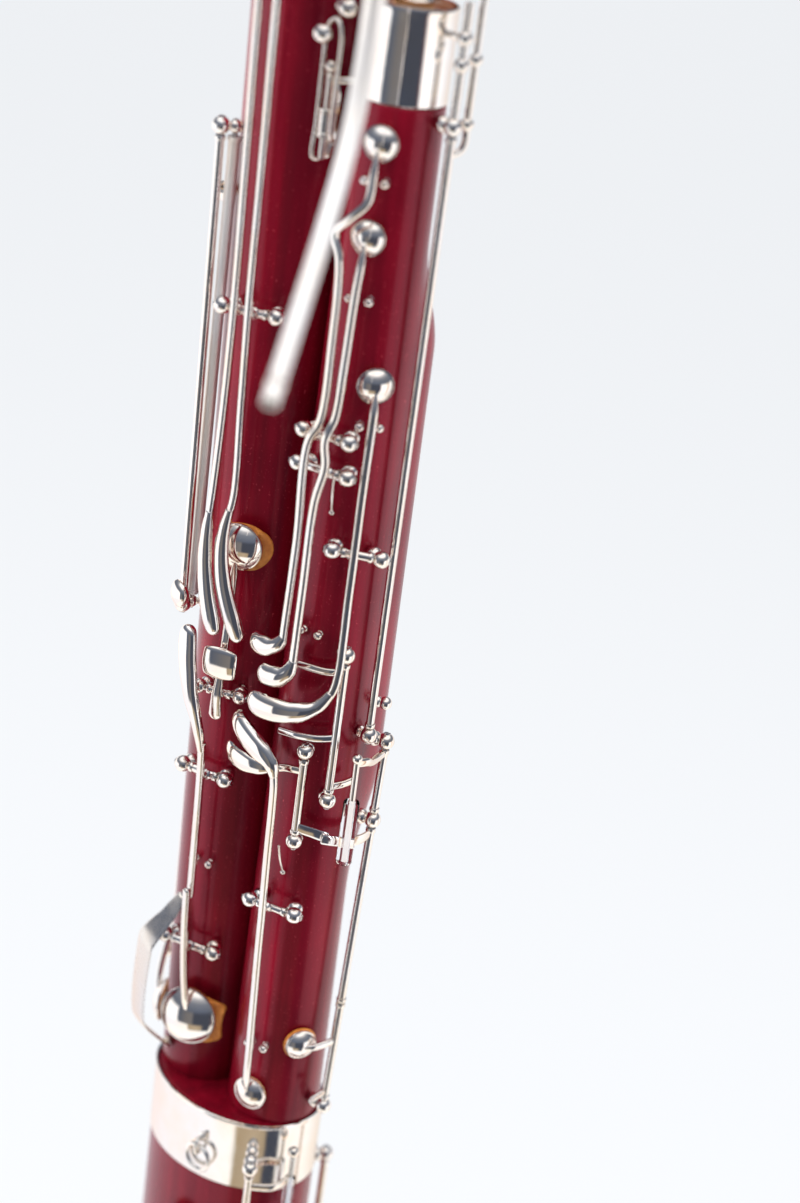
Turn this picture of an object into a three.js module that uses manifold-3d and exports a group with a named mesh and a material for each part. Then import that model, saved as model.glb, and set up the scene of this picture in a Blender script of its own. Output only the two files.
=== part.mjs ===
// A bassoon as an assembly of separate pieces, in millimetres, +Z up.
// The origin is the centre of the boot cap's flat bottom. The long joint and the bell stand at
// negative X, the wing joint at positive X, and the player's thumbs work the keys on the -Y side.
// An angle of 0 degrees on a joint faces -Y, and grows towards +X.
import * as THREE from "three";
import { mergeVertices } from "three/addons/utils/BufferGeometryUtils.js";
import Module from "manifold-3d";

const wasm = await Module();
wasm.setup();

// ---------------------------------------------------------------- driving dimensions
const CAP_HEIGHT = 60;
const BOOT_BOTTOM = 41.2;
const BOOT_TOP = 440;
const BAND_HEIGHT = 33;
const BAND_PROUD = 0.5;
const BOOT_HALF_X = 39.2;
const BOOT_HALF_Y = 29.5;
const SHEET = 0.7;
const BORE_SPACING = 38.5;
const WING_TOP = 895;
const WING_RADIUS_BOTTOM = 19.2;
const WING_RADIUS_TOP = 15.5;
const WING_SWELL = 10;
const LONG_TOP = 985;
const LONG_RADIUS_BOTTOM = 19.0;
const LONG_RADIUS_AT_WING_TOP = 24.3;
const LONG_LEAN_AT_WING_TOP = 2.25;
const BELL_TOP = 1340;
const RIM_HEIGHT = 18;
const TENON_LENGTH = 35;
const TENON_RADIUS = 14.5;
const SOCKET_RADIUS = 16.8;
const GAP = 0.3;
const ROD_RADIUS = 1.1;
const TUBE_BORE = 1.45;
const TUBE_RADIUS = 2.1;
const BALL_RADIUS = 3.1;
const FOOT_RADIUS = 1.7;
const RING_SIDES = 28;
const LEVER_WIDTH = 3.2;
const LEVER_THICKNESS = 2.6;
const CUP_HEIGHT = 2.8;
const PAD_THICKNESS = 1.2;
const PAD_REST = 0.5;

const WOOD = 0x7a1224;
const SILVER = 0xdcd9d4;
const CORK = 0xb98a55;
const STEEL = 0xb9b9bc;

const model = new THREE.Group();

// ---------------------------------------------------------------- places on the joints
const WING_SPAN = WING_TOP - BOOT_TOP;

function ramp(z) {
  return (z - BOOT_TOP) / WING_SPAN;
}

// The raised wing that gives the finger holes their length, on the side away from the thumb.
function wingSwell(z, degrees) {
  const begins = THREE.MathUtils.smoothstep(z, 545, 600);
  const fades = 1 - THREE.MathUtils.smoothstep(z, 770, 815);
  const aroundJoint = Math.exp(-(((degrees - 160) / 30) ** 2));
  return WING_SWELL * begins * fades * aroundJoint;
}

const wing = {
  centre: () => BORE_SPACING / 2,
  swell: wingSwell,
  radius: (z) => WING_RADIUS_BOTTOM + (WING_RADIUS_TOP - WING_RADIUS_BOTTOM) * ramp(z),
};

const long = {
  swell: () => 0,
  centre: (z) => -BORE_SPACING / 2 - LONG_LEAN_AT_WING_TOP * Math.max(0, ramp(z)),
  radius: (z) => LONG_RADIUS_BOTTOM + (LONG_RADIUS_AT_WING_TOP - LONG_RADIUS_BOTTOM) * ramp(z),
};

const bellAxisX = long.centre(LONG_TOP);

const bellSection = {
  swell: () => 0,
  centre: () => bellAxisX,
  radius: (z) => 26.4 - 1.2 * Math.sin((Math.PI * (z - LONG_TOP)) / (BELL_TOP - LONG_TOP)),
};

// The point that stands `lift` above a round joint's surface.
function site(joint, z, degrees, lift) {
  const angle = THREE.MathUtils.degToRad(degrees);
  const reach = joint.radius(z) + lift;
  return new THREE.Vector3(joint.centre(z) + reach * Math.sin(angle), -reach * Math.cos(angle), z);
}

const onWing = (z, degrees, lift) => site(wing, z, degrees, lift);
const onLong = (z, degrees, lift) => site(long, z, degrees, lift);
const onBell = (z, degrees, lift) => site(bellSection, z, degrees, lift);

function onBoot(z, degrees, lift) {
  const angle = THREE.MathUtils.degToRad(degrees);
  const x = (BOOT_HALF_X + lift) * Math.sin(angle);
  const y = -(BOOT_HALF_Y + lift) * Math.cos(angle);
  return new THREE.Vector3(x, y, z);
}

// The level direction away from a joint's axis at a point.
function outward(joint, point) {
  const middle = joint ? joint.centre(point.z) : THREE.MathUtils.clamp(point.x, -12, 12);
  return new THREE.Vector3(point.x - middle, point.y, 0).normalize();
}

// ---------------------------------------------------------------- solids
function toSolid(geometry) {
  const bare = geometry.clone();
  bare.deleteAttribute("normal");
  bare.deleteAttribute("uv");
  const merged = mergeVertices(bare, 1e-4);
  const place = merged.attributes.position;
  const corners = [];
  let volume = 0;
  const a = new THREE.Vector3();
  const b = new THREE.Vector3();
  const c = new THREE.Vector3();
  for (let i = 0; i < merged.index.count; i += 3) {
    const face = [0, 1, 2].map((k) => merged.index.getX(i + k));
    if (new Set(face).size < 3) continue;
    corners.push(...face);
    a.fromBufferAttribute(place, face[0]);
    b.fromBufferAttribute(place, face[1]);
    c.fromBufferAttribute(place, face[2]);
    volume += a.dot(b.cross(c));
  }
  if (volume < 0) corners.reverse();
  const vertProperties = new Float32Array(place.array);
  const triVerts = new Uint32Array(corners);
  return new wasm.Manifold(new wasm.Mesh({ numProp: 3, vertProperties, triVerts }));
}

function union(...solids) {
  return solids.flat().reduce((whole, next) => whole.add(next));
}

function addPiece(name, solid, color, metalness, roughness) {
  const mesh = solid.getMesh();
  const geometry = new THREE.BufferGeometry();
  geometry.setAttribute("position", new THREE.BufferAttribute(mesh.vertProperties, 3));
  geometry.setIndex(new THREE.BufferAttribute(mesh.triVerts, 1));
  geometry.computeVertexNormals();
  const material = new THREE.MeshStandardMaterial({ color, metalness, roughness });
  const piece = new THREE.Mesh(geometry, material);
  piece.name = name;
  model.add(piece);
}

const addWood = (name, solid) => addPiece(name, solid, WOOD, 0, 0.25);
const addSilver = (name, solid) => addPiece(name, solid, SILVER, 1, 0.12);
const addCork = (name, solid) => addPiece(name, solid, CORK, 0, 0.9);

// An upright round column between two heights, which may taper.
function column(x, y, low, high, radiusLow, radiusHigh = radiusLow, sides = 20) {
  const geometry = new THREE.CylinderGeometry(radiusHigh, radiusLow, high - low, sides);
  geometry.rotateX(Math.PI / 2);
  geometry.translate(x, y, (low + high) / 2);
  return toSolid(geometry);
}

function oval(low, high, halfX, halfY) {
  const geometry = new THREE.CylinderGeometry(1, 1, high - low, 32);
  geometry.rotateX(Math.PI / 2);
  geometry.scale(halfX, halfY, 1);
  geometry.translate(0, 0, (low + high) / 2);
  return toSolid(geometry);
}

function ring(x, low, high, inner, outer) {
  const hole = column(x, 0, low - 1, high + 1, inner, inner, RING_SIDES);
  return column(x, 0, low, high, outer, outer, RING_SIDES).subtract(hole);
}

// A straight bar between two points.
function bar(from, to, radius, sides = 6) {
  const along = new THREE.Vector3().subVectors(to, from);
  const geometry = new THREE.CylinderGeometry(radius, radius, along.length(), sides);
  const turn = new THREE.Quaternion().setFromUnitVectors(new THREE.Vector3(0, 1, 0), along.normalize());
  geometry.applyQuaternion(turn);
  geometry.translate((from.x + to.x) / 2, (from.y + to.y) / 2, (from.z + to.z) / 2);
  return toSolid(geometry);
}

function ball(centre, radius = BALL_RADIUS) {
  const geometry = new THREE.SphereGeometry(radius, 6, 4);
  geometry.translate(centre.x, centre.y, centre.z);
  return toSolid(geometry);
}

// A shape of changing width and thickness that follows a smooth curve, its broad side facing up.
function blade(points, widths, thickness, upAt, sides = 6, steps = 1) {
  const curve = new THREE.CatmullRomCurve3(points, false, "centripetal");
  const spans = points.length - 1;
  const geometry = new THREE.CylinderGeometry(1, 1, 1, sides, spans * steps);
  const place = geometry.attributes.position;
  for (let i = 0; i < place.count; i += 1) {
    const t = THREE.MathUtils.clamp(place.getY(i) + 0.5, 0, 1);
    const index = Math.min(Math.floor(t * spans), spans - 1);
    const width = THREE.MathUtils.lerp(widths[index], widths[index + 1], t * spans - index);
    const centre = curve.getPoint(t);
    const along = curve.getTangent(t);
    const side = new THREE.Vector3().crossVectors(along, upAt(centre)).normalize();
    const up = new THREE.Vector3().crossVectors(side, along);
    centre.addScaledVector(side, (place.getX(i) * width) / 2);
    centre.addScaledVector(up, (place.getZ(i) * Math.min(thickness, width)) / 2);
    place.setXYZ(i, centre.x, centre.y, centre.z);
  }
  return toSolid(geometry);
}

// A lever of even width; `taper` narrows its first point to the tip that lies on the pad cup.
function lever(joint, points, { widths = null, taper = true, thickness = LEVER_THICKNESS } = {}) {
  const even = points.map((_, i) => (i === 0 && taper ? 1.4 : LEVER_WIDTH));
  return blade(points, widths ?? even, thickness, (at) => outward(joint, at));
}

function roundTube(points, radii, sides = 8, steps = 1) {
  const steady = new THREE.Vector3(0.857, 0.514, 0);
  return blade(points, radii.map((r) => 2 * r), Infinity, () => steady, sides, steps);
}

// A pad cup with its pad, which is made where it closes its hole. A key that stands open is then
// swung out by its opening angle about its axle.
function cup(joint, middle, radius, axle = null, openDegrees = 0) {
  const out = outward(joint, middle);
  const top = PAD_REST + PAD_THICKNESS + CUP_HEIGHT;
  const profile = [
    [0, PAD_REST],
    [radius * 0.9, PAD_REST],
    [radius, PAD_REST + PAD_THICKNESS],
    [radius, top - CUP_HEIGHT * 0.45],
    [radius * 0.62, top - 0.4],
    [0, top],
  ];
  const geometry = new THREE.LatheGeometry(profile.map(([x, y]) => new THREE.Vector2(x, y)), 10);
  geometry.applyQuaternion(new THREE.Quaternion().setFromUnitVectors(new THREE.Vector3(0, 1, 0), out));
  geometry.translate(middle.x, middle.y, middle.z);
  if (axle) {
    const { x, y, z } = axle.start;
    const turn = new THREE.Quaternion();
    turn.setFromAxisAngle(alongAxle(axle, 1).sub(axle.start), THREE.MathUtils.degToRad(openDegrees));
    geometry.translate(-x, -y, -z).applyQuaternion(turn).translate(x, y, z);
  }
  return toSolid(geometry);
}

// ---------------------------------------------------------------- hinges
// An axle is the line from one post's ball to the other's.
function alongAxle(axle, fromStart) {
  const direction = new THREE.Vector3().subVectors(axle.end, axle.start).normalize();
  return axle.start.clone().addScaledVector(direction, fromStart);
}

const axleLength = (axle) => axle.start.distanceTo(axle.end);

function foot(joint, centre) {
  const out = outward(joint, centre);
  const height = joint ? liftOf(joint, centre) : ovalLift(centre);
  const clearance = GAP + 0.15 + (joint ? 0 : BAND_PROUD);
  const root = centre.clone().addScaledVector(out, clearance - height);
  return bar(root, centre, FOOT_RADIUS);
}

// How far a point stands off a round joint, its swelling included.
function liftOf(joint, point) {
  const x = point.x - joint.centre(point.z);
  const degrees = (THREE.MathUtils.radToDeg(Math.atan2(x, -point.y)) + 360) % 360;
  return Math.hypot(x, point.y) - joint.radius(point.z) - joint.swell(point.z, degrees);
}

// How far a point stands off the boot's oval, measured towards its middle line.
function ovalLift(point) {
  const out = outward(null, point);
  let lift = 0;
  const probe = point.clone();
  while ((probe.x / BOOT_HALF_X) ** 2 + (probe.y / BOOT_HALF_Y) ** 2 > 1) {
    probe.addScaledVector(out, -0.1);
    lift += 0.1;
  }
  return lift;
}

// Two or more posts with balls, and the steel rod that joins them.
function posts(joint, axle, extra = [], radius = BALL_RADIUS) {
  const centres = [axle.start, axle.end, ...extra];
  const standing = centres.map((centre) => union(ball(centre, radius), foot(joint, centre)));
  return union(standing, bar(axle.start, axle.end, ROD_RADIUS));
}

// The key tube that turns on the rod, between two distances along the axle.
function sleeve(
  axle, from = BALL_RADIUS + GAP, to = axleLength(axle) - BALL_RADIUS - GAP, radius = TUBE_RADIUS,
) {
  return bar(alongAxle(axle, from), alongAxle(axle, to), radius);
}

function boreOut(solid, axle) {
  return solid.subtract(bar(alongAxle(axle, -2), alongAxle(axle, axleLength(axle) + 2), TUBE_BORE));
}

// The block under a lever that joins it to its tube, from the tube's middle to the lever.
function saddle(axle, under) {
  const direction = alongAxle(axle, 1).sub(axle.start);
  const fromStart = under.clone().sub(axle.start).dot(direction);
  return bar(alongAxle(axle, fromStart), under, 1.5);
}

// ---------------------------------------------------------------- boot joint
function makeBoot() {
  const capRecess = oval(BOOT_BOTTOM, CAP_HEIGHT + 2, BOOT_HALF_X - 1, BOOT_HALF_Y - 1);
  const trunk = oval(CAP_HEIGHT + GAP, BOOT_TOP - BAND_HEIGHT, BOOT_HALF_X, BOOT_HALF_Y);
  const bandRecess = oval(BOOT_TOP - BAND_HEIGHT - 1, BOOT_TOP, BOOT_HALF_X - SHEET, BOOT_HALF_Y - SHEET);
  let solid = union(capRecess, trunk, bandRecess);
  for (const [x, bore] of [[BORE_SPACING / 2, 6.5], [-BORE_SPACING / 2, 8]]) {
    solid = solid.subtract(column(x, 0, BOOT_BOTTOM - 1, BOOT_TOP, bore, bore, 20));
    solid = solid.subtract(column(x, 0, BOOT_TOP - TENON_LENGTH - 1, BOOT_TOP + 1, SOCKET_RADIUS));
  }
  return solid;
}

const STAPLE_Z = 424;
const STAPLE_DEGREES = 11;
const STRAP_RING_RADIUS = 6;

// The staple soldered to the band, which the strap ring hangs in.
function makeStaple() {
  const reach = 3.4;
  const ears = [-reach, reach].map((step) => {
    const root = onBoot(STAPLE_Z + step, STAPLE_DEGREES, 0);
    return bar(root, onBoot(STAPLE_Z + step, STAPLE_DEGREES, 5.2), 0.9);
  });
  const low = onBoot(STAPLE_Z - reach, STAPLE_DEGREES, 5);
  const high = onBoot(STAPLE_Z + reach, STAPLE_DEGREES, 5);
  return union(ears, bar(low, high, 0.9));
}

function makeBootBand() {
  const low = BOOT_TOP - BAND_HEIGHT + GAP;
  const outer = oval(low, BOOT_TOP, BOOT_HALF_X + BAND_PROUD, BOOT_HALF_Y + BAND_PROUD);
  const inner = oval(low - 1, BOOT_TOP + 1, BOOT_HALF_X - SHEET + GAP, BOOT_HALF_Y - SHEET + GAP);
  return outer.subtract(inner).add(makeStaple());
}

function makeBootCap() {
  const floor = 3;
  const outer = oval(0, CAP_HEIGHT, BOOT_HALF_X + 0.8, BOOT_HALF_Y + 0.8);
  const inner = oval(floor, CAP_HEIGHT + 1, BOOT_HALF_X - 1 + GAP, BOOT_HALF_Y - 1 + GAP);
  return outer.subtract(inner);
}

const PLATE_LOW = 36;
const PLATE_HIGH = 39;

function halfLoop(radius) {
  const points = [];
  for (let i = 0; i <= 6; i += 1) {
    const angle = (Math.PI * i) / 6;
    const x = (Math.cos(angle) * BORE_SPACING) / 2;
    points.push(new THREE.Vector3(x, 0, PLATE_LOW - (Math.sin(angle) * BORE_SPACING) / 2));
  }
  return roundTube(points, points.map(() => radius), 12);
}

function makeUTube() {
  const bend = union(halfLoop(9.2), oval(PLATE_LOW, PLATE_HIGH, 34, 24));
  let solid = bend.subtract(halfLoop(7.8));
  for (const x of [-BORE_SPACING / 2, BORE_SPACING / 2]) {
    solid = solid.subtract(column(x, 0, PLATE_LOW + 0.5, PLATE_HIGH + 1, 7.8, 7.8, 12));
  }
  return solid;
}

function makeGasket() {
  let solid = oval(PLATE_HIGH + GAP, BOOT_BOTTOM - GAP, 34, 24);
  for (const x of [-BORE_SPACING / 2, BORE_SPACING / 2]) {
    solid = solid.subtract(column(x, 0, PLATE_HIGH, BOOT_BOTTOM, 8.2, 8.2, 16));
  }
  return solid;
}

addWood("boot_joint", makeBoot());
addSilver("boot_top_band", makeBootBand());
addSilver("boot_bottom_cap", makeBootCap());
addPiece("boot_u_tube", makeUTube(), STEEL, 1, 0.3);
addCork("u_tube_gasket", makeGasket());

// ---------------------------------------------------------------- wing joint
const FERRULE_HEIGHT = 33;
const FERRULE_RADIUS = 15.9;

// A round joint drawn ring by ring, with its swelling.
function turnedJoint(joint, low, high, steps, sides) {
  const geometry = new THREE.CylinderGeometry(1, 1, high - low, sides, steps);
  geometry.rotateX(Math.PI / 2);
  geometry.translate(0, 0, (low + high) / 2);
  const place = geometry.attributes.position;
  for (let i = 0; i < place.count; i += 1) {
    const z = place.getZ(i);
    const x = place.getX(i);
    const y = place.getY(i);
    const degrees = THREE.MathUtils.radToDeg(Math.atan2(x, -y));
    const radius = joint.radius(z) + joint.swell(z, (degrees + 360) % 360);
    place.setXYZ(i, joint.centre(z) + x * radius, y * radius, z);
  }
  return toSolid(geometry);
}

function toneHole(joint, z, degrees, radius) {
  const outside = site(joint, z, degrees, 14);
  const inside = new THREE.Vector3(joint.centre(z), 0, z);
  return bar(inside, outside, radius);
}

const FINGER_HOLES = [620, 672, 724];

function makeWing() {
  const ferruleLow = WING_TOP - FERRULE_HEIGHT;
  const body = turnedJoint(wing, BOOT_TOP + GAP, ferruleLow - GAP, 9, 28);
  const x = BORE_SPACING / 2;
  const neck = column(x, 0, ferruleLow - 1, WING_TOP - 4, WING_RADIUS_TOP - 0.6);
  const tenon = column(x, 0, BOOT_TOP - TENON_LENGTH, BOOT_TOP + 1, TENON_RADIUS);
  let solid = union(body, neck, tenon);
  solid = solid.subtract(column(x, 0, BOOT_TOP - TENON_LENGTH - 1, WING_TOP, 5.5, 4.5, 20));
  solid = solid.subtract(column(x, 0, WING_TOP - 32, WING_TOP, 7, 7, 20));
  for (const z of FINGER_HOLES) {
    const mouth = onWing(z, 160, 20);
    const deep = new THREE.Vector3(x, 0, z + 26);
    solid = solid.subtract(bar(deep, mouth, 3));
  }
  for (const [z, degrees] of [[849, 21], [816, 20], [763, 49], [454, 10]]) {
    solid = solid.subtract(toneHole(wing, z, degrees, 3));
  }
  return solid;
}

const LOCK_X = 2.2;
const LOCK_Y = -16.4;

// The guide of the body lock, soldered to the ferrule: a plate that holds the barrel of the pin.
function makeLockGuide() {
  const plate = new THREE.BoxGeometry(7, 2, 30);
  plate.translate(LOCK_X, LOCK_Y, 853);
  const low = new THREE.Vector3(LOCK_X, LOCK_Y - 2.6, 846);
  const high = new THREE.Vector3(LOCK_X, LOCK_Y - 2.6, 856);
  const web = bar(new THREE.Vector3(LOCK_X, LOCK_Y, 865.5), new THREE.Vector3(8.2, -11.2, 865.5), 1.6);
  const channel = bar(low.clone().setZ(830), high.clone().setZ(880), 1.5);
  return union(toSolid(plate), bar(low, high, 2.6), web).subtract(channel);
}

function makeFerrule() {
  const low = WING_TOP - FERRULE_HEIGHT;
  const band = ring(BORE_SPACING / 2, low, WING_TOP, WING_RADIUS_TOP - 0.3, FERRULE_RADIUS);
  return band.add(makeLockGuide());
}

addWood("wing_joint", makeWing());
addSilver("wing_ferrule", makeFerrule());
addCork(
  "wing_tenon_cork",
  ring(
    BORE_SPACING / 2, BOOT_TOP - TENON_LENGTH + 5, BOOT_TOP - 6, TENON_RADIUS + GAP,
    SOCKET_RADIUS - 0.4,
  ),
);

// ---------------------------------------------------------------- long joint and bell
const BELL_TENON_RADIUS = 20.5;
const BELL_SOCKET_RADIUS = 23;
const BELL_TENON_LENGTH = 30;
const BELL_RING_HEIGHT = 23;

function makeLongJoint() {
  const body = turnedJoint(long, BOOT_TOP + GAP, LONG_TOP - GAP, 1, 32);
  const lower = column(-BORE_SPACING / 2, 0, BOOT_TOP - TENON_LENGTH, BOOT_TOP + 1, TENON_RADIUS);
  const upper = column(bellAxisX, 0, LONG_TOP - 1, LONG_TOP + BELL_TENON_LENGTH, BELL_TENON_RADIUS);
  const lapping = column(bellAxisX, 0, LONG_TOP + 5, LONG_TOP + 24, BELL_SOCKET_RADIUS - 0.4);
  let solid = union(body, lower, upper, lapping);
  const middle = (LONG_TOP + BOOT_TOP) / 2;
  solid = solid.subtract(column(-BORE_SPACING / 2, 0, BOOT_TOP - TENON_LENGTH - 1, middle, 10, 13));
  solid = solid.subtract(column(bellAxisX, 0, middle - 1, LONG_TOP + BELL_TENON_LENGTH + 1, 12.5, 15.5));
  for (const [z, degrees, radius] of [[688, 22, 6], [475, 19, 8], [462, -66, 6], [952, 30, 8]]) {
    solid = solid.subtract(toneHole(long, z, degrees, radius));
  }
  return solid;
}

function bellProfile() {
  const base = LONG_TOP + GAP;
  const ringTop = LONG_TOP + BELL_RING_HEIGHT + GAP;
  const points = [
    [BELL_SOCKET_RADIUS, base],
    [bellSection.radius(base) - SHEET, base],
    [bellSection.radius(ringTop) - SHEET, ringTop],
  ];
  for (let z = ringTop; z < BELL_TOP - RIM_HEIGHT; z += 78) {
    points.push([bellSection.radius(z), z + 0.2]);
  }
  const rimLow = BELL_TOP - RIM_HEIGHT - GAP;
  points.push([bellSection.radius(rimLow), rimLow]);
  points.push([bellSection.radius(rimLow) - 1.5, rimLow + 0.2]);
  points.push([bellSection.radius(BELL_TOP) - 1.5, BELL_TOP - 1]);
  points.push([21, BELL_TOP - 1]);
  points.push([16.5, LONG_TOP + BELL_TENON_LENGTH + 1]);
  points.push([BELL_SOCKET_RADIUS, LONG_TOP + BELL_TENON_LENGTH + 1]);
  points.push(points[0]);
  return points;
}

function makeBell() {
  const outline = bellProfile().map(([r, z]) => new THREE.Vector2(r, z));
  const geometry = new THREE.LatheGeometry(outline, 28);
  geometry.rotateX(Math.PI / 2);
  geometry.translate(bellAxisX, 0, 0);
  return toSolid(geometry).subtract(toneHole(bellSection, 1098, 10, 9));
}

addWood("long_joint", makeLongJoint());
addCork(
  "long_tenon_cork",
  ring(
    -BORE_SPACING / 2, BOOT_TOP - TENON_LENGTH + 5, BOOT_TOP - 6, TENON_RADIUS + GAP,
    SOCKET_RADIUS - 0.4,
  ),
);
addWood("bell", makeBell());
addSilver(
  "bell_lower_ring",
  ring(
    bellAxisX, LONG_TOP + GAP, LONG_TOP + BELL_RING_HEIGHT, bellSection.radius(LONG_TOP) - SHEET + GAP,
    27.2,
  ),
);
addSilver(
  "bell_rim_ring",
  ring(bellAxisX, BELL_TOP - RIM_HEIGHT, BELL_TOP, bellSection.radius(BELL_TOP) - 1.2, 27.6),
);

// ---------------------------------------------------------------- bocal
const BOCAL_DEGREES = 29.3;
const BOCAL_CORK_LOW = WING_TOP - 28;
const NIPPLE_Z = 921;

// The bocal lies in one upright plane: each pair is the distance from the wing's axis and the height.
const BOCAL_PATH = [
  [0, WING_TOP - 30], [0, WING_TOP + 5], [1.5, 930], [10, 956], [31, 975], [57, 972], [75, 951],
  [82, 922], [86, 893], [98, 869], [122, 848], [151, 829], [182, 810],
];

function bocalTube(radiusLow, radiusTip, overrun) {
  const angle = THREE.MathUtils.degToRad(BOCAL_DEGREES);
  const points = BOCAL_PATH.map(([reach, z]) => {
    return new THREE.Vector3(BORE_SPACING / 2 + reach * Math.sin(angle), -reach * Math.cos(angle), z);
  });
  points[0].z -= overrun;
  points.at(-1).lerp(points.at(-2), -overrun / 50);
  const last = points.length - 1;
  const radii = points.map((_, i) => THREE.MathUtils.lerp(radiusLow, radiusTip, i / last));
  return roundTube(points, radii, 8, 2);
}

function makeBocal() {
  const x = BORE_SPACING / 2;
  const nipple = bar(new THREE.Vector3(x, 3, NIPPLE_Z), new THREE.Vector3(x, 8.3, NIPPLE_Z), 1.8, 8);
  const vent = bar(new THREE.Vector3(x, 0, NIPPLE_Z), new THREE.Vector3(x, 9, NIPPLE_Z), 0.8, 6);
  return union(bocalTube(5, 2.7, 0), nipple).subtract(bocalTube(4, 1.9, 2)).subtract(vent);
}

addSilver("bocal", makeBocal());
addCork("bocal_cork", ring(BORE_SPACING / 2, BOCAL_CORK_LOW, WING_TOP - 1, 5.4, 6.7));

// ---------------------------------------------------------------- wing joint cross keys
function crossAxle(joint, z, leftDegrees, rightDegrees, lift) {
  return { start: site(joint, z, leftDegrees, lift), end: site(joint, z, rightDegrees, lift) };
}

// A key that rocks on a cross axle: a lever, a cup at its first point and a touch at the far end.
function rockingKey({ joint, axle, path, crossing, cupRadius, openDegrees = 0, touch, touchWidths }) {
  const parts = [sleeve(axle), lever(joint, path), saddle(axle, crossing)];
  const middle = path[0].clone().addScaledVector(outward(joint, path[0]), -path[0].userLift);
  parts.push(cup(joint, middle, cupRadius, axle, openDegrees));
  if (touch) {
    parts.push(lever(joint, touch, { widths: touchWidths, taper: false, thickness: 2.8 }));
  }
  return boreOut(union(parts), axle);
}

// A path point that remembers how far it stands off the joint.
function lifted(joint, z, degrees, lift) {
  const point = site(joint, z, degrees, lift);
  point.userLift = lift;
  return point;
}

const wingPath = (rows) => rows.map(([z, degrees, lift]) => lifted(wing, z, degrees, lift));
const longPath = (rows) => rows.map(([z, degrees, lift]) => lifted(long, z, degrees, lift));

const HIGH_D_AXLE = crossAxle(wing, 743.5, -12.2, 31, 9);
const HIGH_C_AXLE = crossAxle(wing, 730.3, -14.5, 33, 9);
const HIGH_A_AXLE = { start: onWing(701.4, 27.9, 8), end: onWing(698.3, 71.4, 8) };
const C_SHARP_AXLE = crossAxle(wing, 546, -8.3, 35.2, 8);

const WING_KEYS = [
  {
    name: "high_d",
    axle: HIGH_D_AXLE,
    path: [
      [849.2, 21, 4.6], [838, 21.5, 7], [830, 21, 8.5], [823, 8, 9.5], [816.5, -3, 9.5], [808, 4, 9.5],
      [778, 7, 9.5], [750, 7, 10.8], [741, 1, 12.6], [703.5, 2.5, 13], [667, 1.2, 13], [660, 2, 13],
    ],
    crossing: [743.5, 3, 11.5],
    cupRadius: 6.5,
    touch: [[661, 3, 13], [658.5, -6, 14], [656.8, -17, 14.5], [656.5, -29, 13.5]],
    touchWidths: [3.4, 6, 7.2, 4.5],
  },
  {
    name: "high_c",
    axle: HIGH_C_AXLE,
    path: [
      [816.1, 20.1, 4.6], [806, 20.5, 6.8], [798, 20.2, 8], [770, 19, 8.8], [752, 18, 10], [743.5, 14, 12],
      [734, 16.5, 12], [720, 12.3, 12.5], [685, 11.6, 12.5], [655, 11, 12.5],
    ],
    crossing: [730.3, 15.5, 11],
    cupRadius: 6.5,
    touch: [[656, 11.2, 12.5], [649.5, 6, 13.3], [647, -4, 14.2], [647, -15, 13.5]],
    touchWidths: [3.4, 6, 7, 4.5],
  },
  {
    name: "high_a",
    axle: HIGH_A_AXLE,
    path: [
      [763.4, 49.4, 4.6], [754, 48.5, 6.8], [745, 47.5, 8], [726, 46.5, 9], [702, 46, 10.3],
      [684, 45.5, 11], [668, 45.5, 11.8], [655, 45, 12], [647, 42, 12.2], [640.5, 35, 12.8],
    ],
    crossing: [700, 46, 9.5],
    cupRadius: 6.8,
    touch: [
      [643, 38.5, 12.5], [638, 27, 13.5], [636, 14, 15], [635, 0, 15.8], [634.5, -12, 15.8],
      [634.5, -20, 15],
    ],
    touchWidths: [3.4, 5, 7.5, 8.4, 7.6, 4.5],
  },
  {
    name: "c_sharp",
    axle: C_SHARP_AXLE,
    path: [
      [453.9, 10.1, 4.6], [464, 10, 6.5], [479, 11, 8], [522, 9, 9], [546, 9.3, 10.4],
      [573.5, 8.7, 11.4], [592, 9, 12.4], [604, 8.5, 13], [609, 7.5, 13.2],
    ],
    crossing: [546, 9.3, 9.5],
    cupRadius: 7.2,
    touch: [
      [607.5, 8, 13.1], [612.5, 3, 13.4], [615.5, -8, 14.2], [618, -20, 14.6], [619.5, -32, 14.3],
      [619.5, -41, 13.2],
    ],
    touchWidths: [3.4, 6, 8, 8.8, 7.6, 4.5],
  },
];

for (const key of WING_KEYS) {
  const solid = rockingKey({
    joint: wing,
    axle: key.axle,
    path: wingPath(key.path),
    crossing: onWing(...key.crossing),
    cupRadius: key.cupRadius,
    touch: wingPath(key.touch),
    touchWidths: key.touchWidths,
  });
  addSilver(`${key.name}_key`, solid);
  addSilver(`${key.name}_posts`, posts(wing, key.axle));
}

// ---------------------------------------------------------------- upright keys on the wing joint
function uprightAxle(x, y, high, low) {
  return { start: new THREE.Vector3(x, y, high), end: new THREE.Vector3(x, y, low) };
}

const WHISPER_LEVER_AXLE = uprightAxle(29.6, -21.2, 617, 577.5);
const TRILL_LINK_AXLE = uprightAxle(38, -14.5, 659, 597);
const WHISPER_KEY_AXLE = uprightAxle(41.9, 0.8, 857, 622);
const SIDE_AXLE = { start: new THREE.Vector3(43.7, 10.3, 617), end: new THREE.Vector3(46.2, -1, 451) };

function flatArm(joint, points, width, thickness = 1.8) {
  return lever(joint, points, { widths: points.map(() => width), taper: false, thickness });
}

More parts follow.
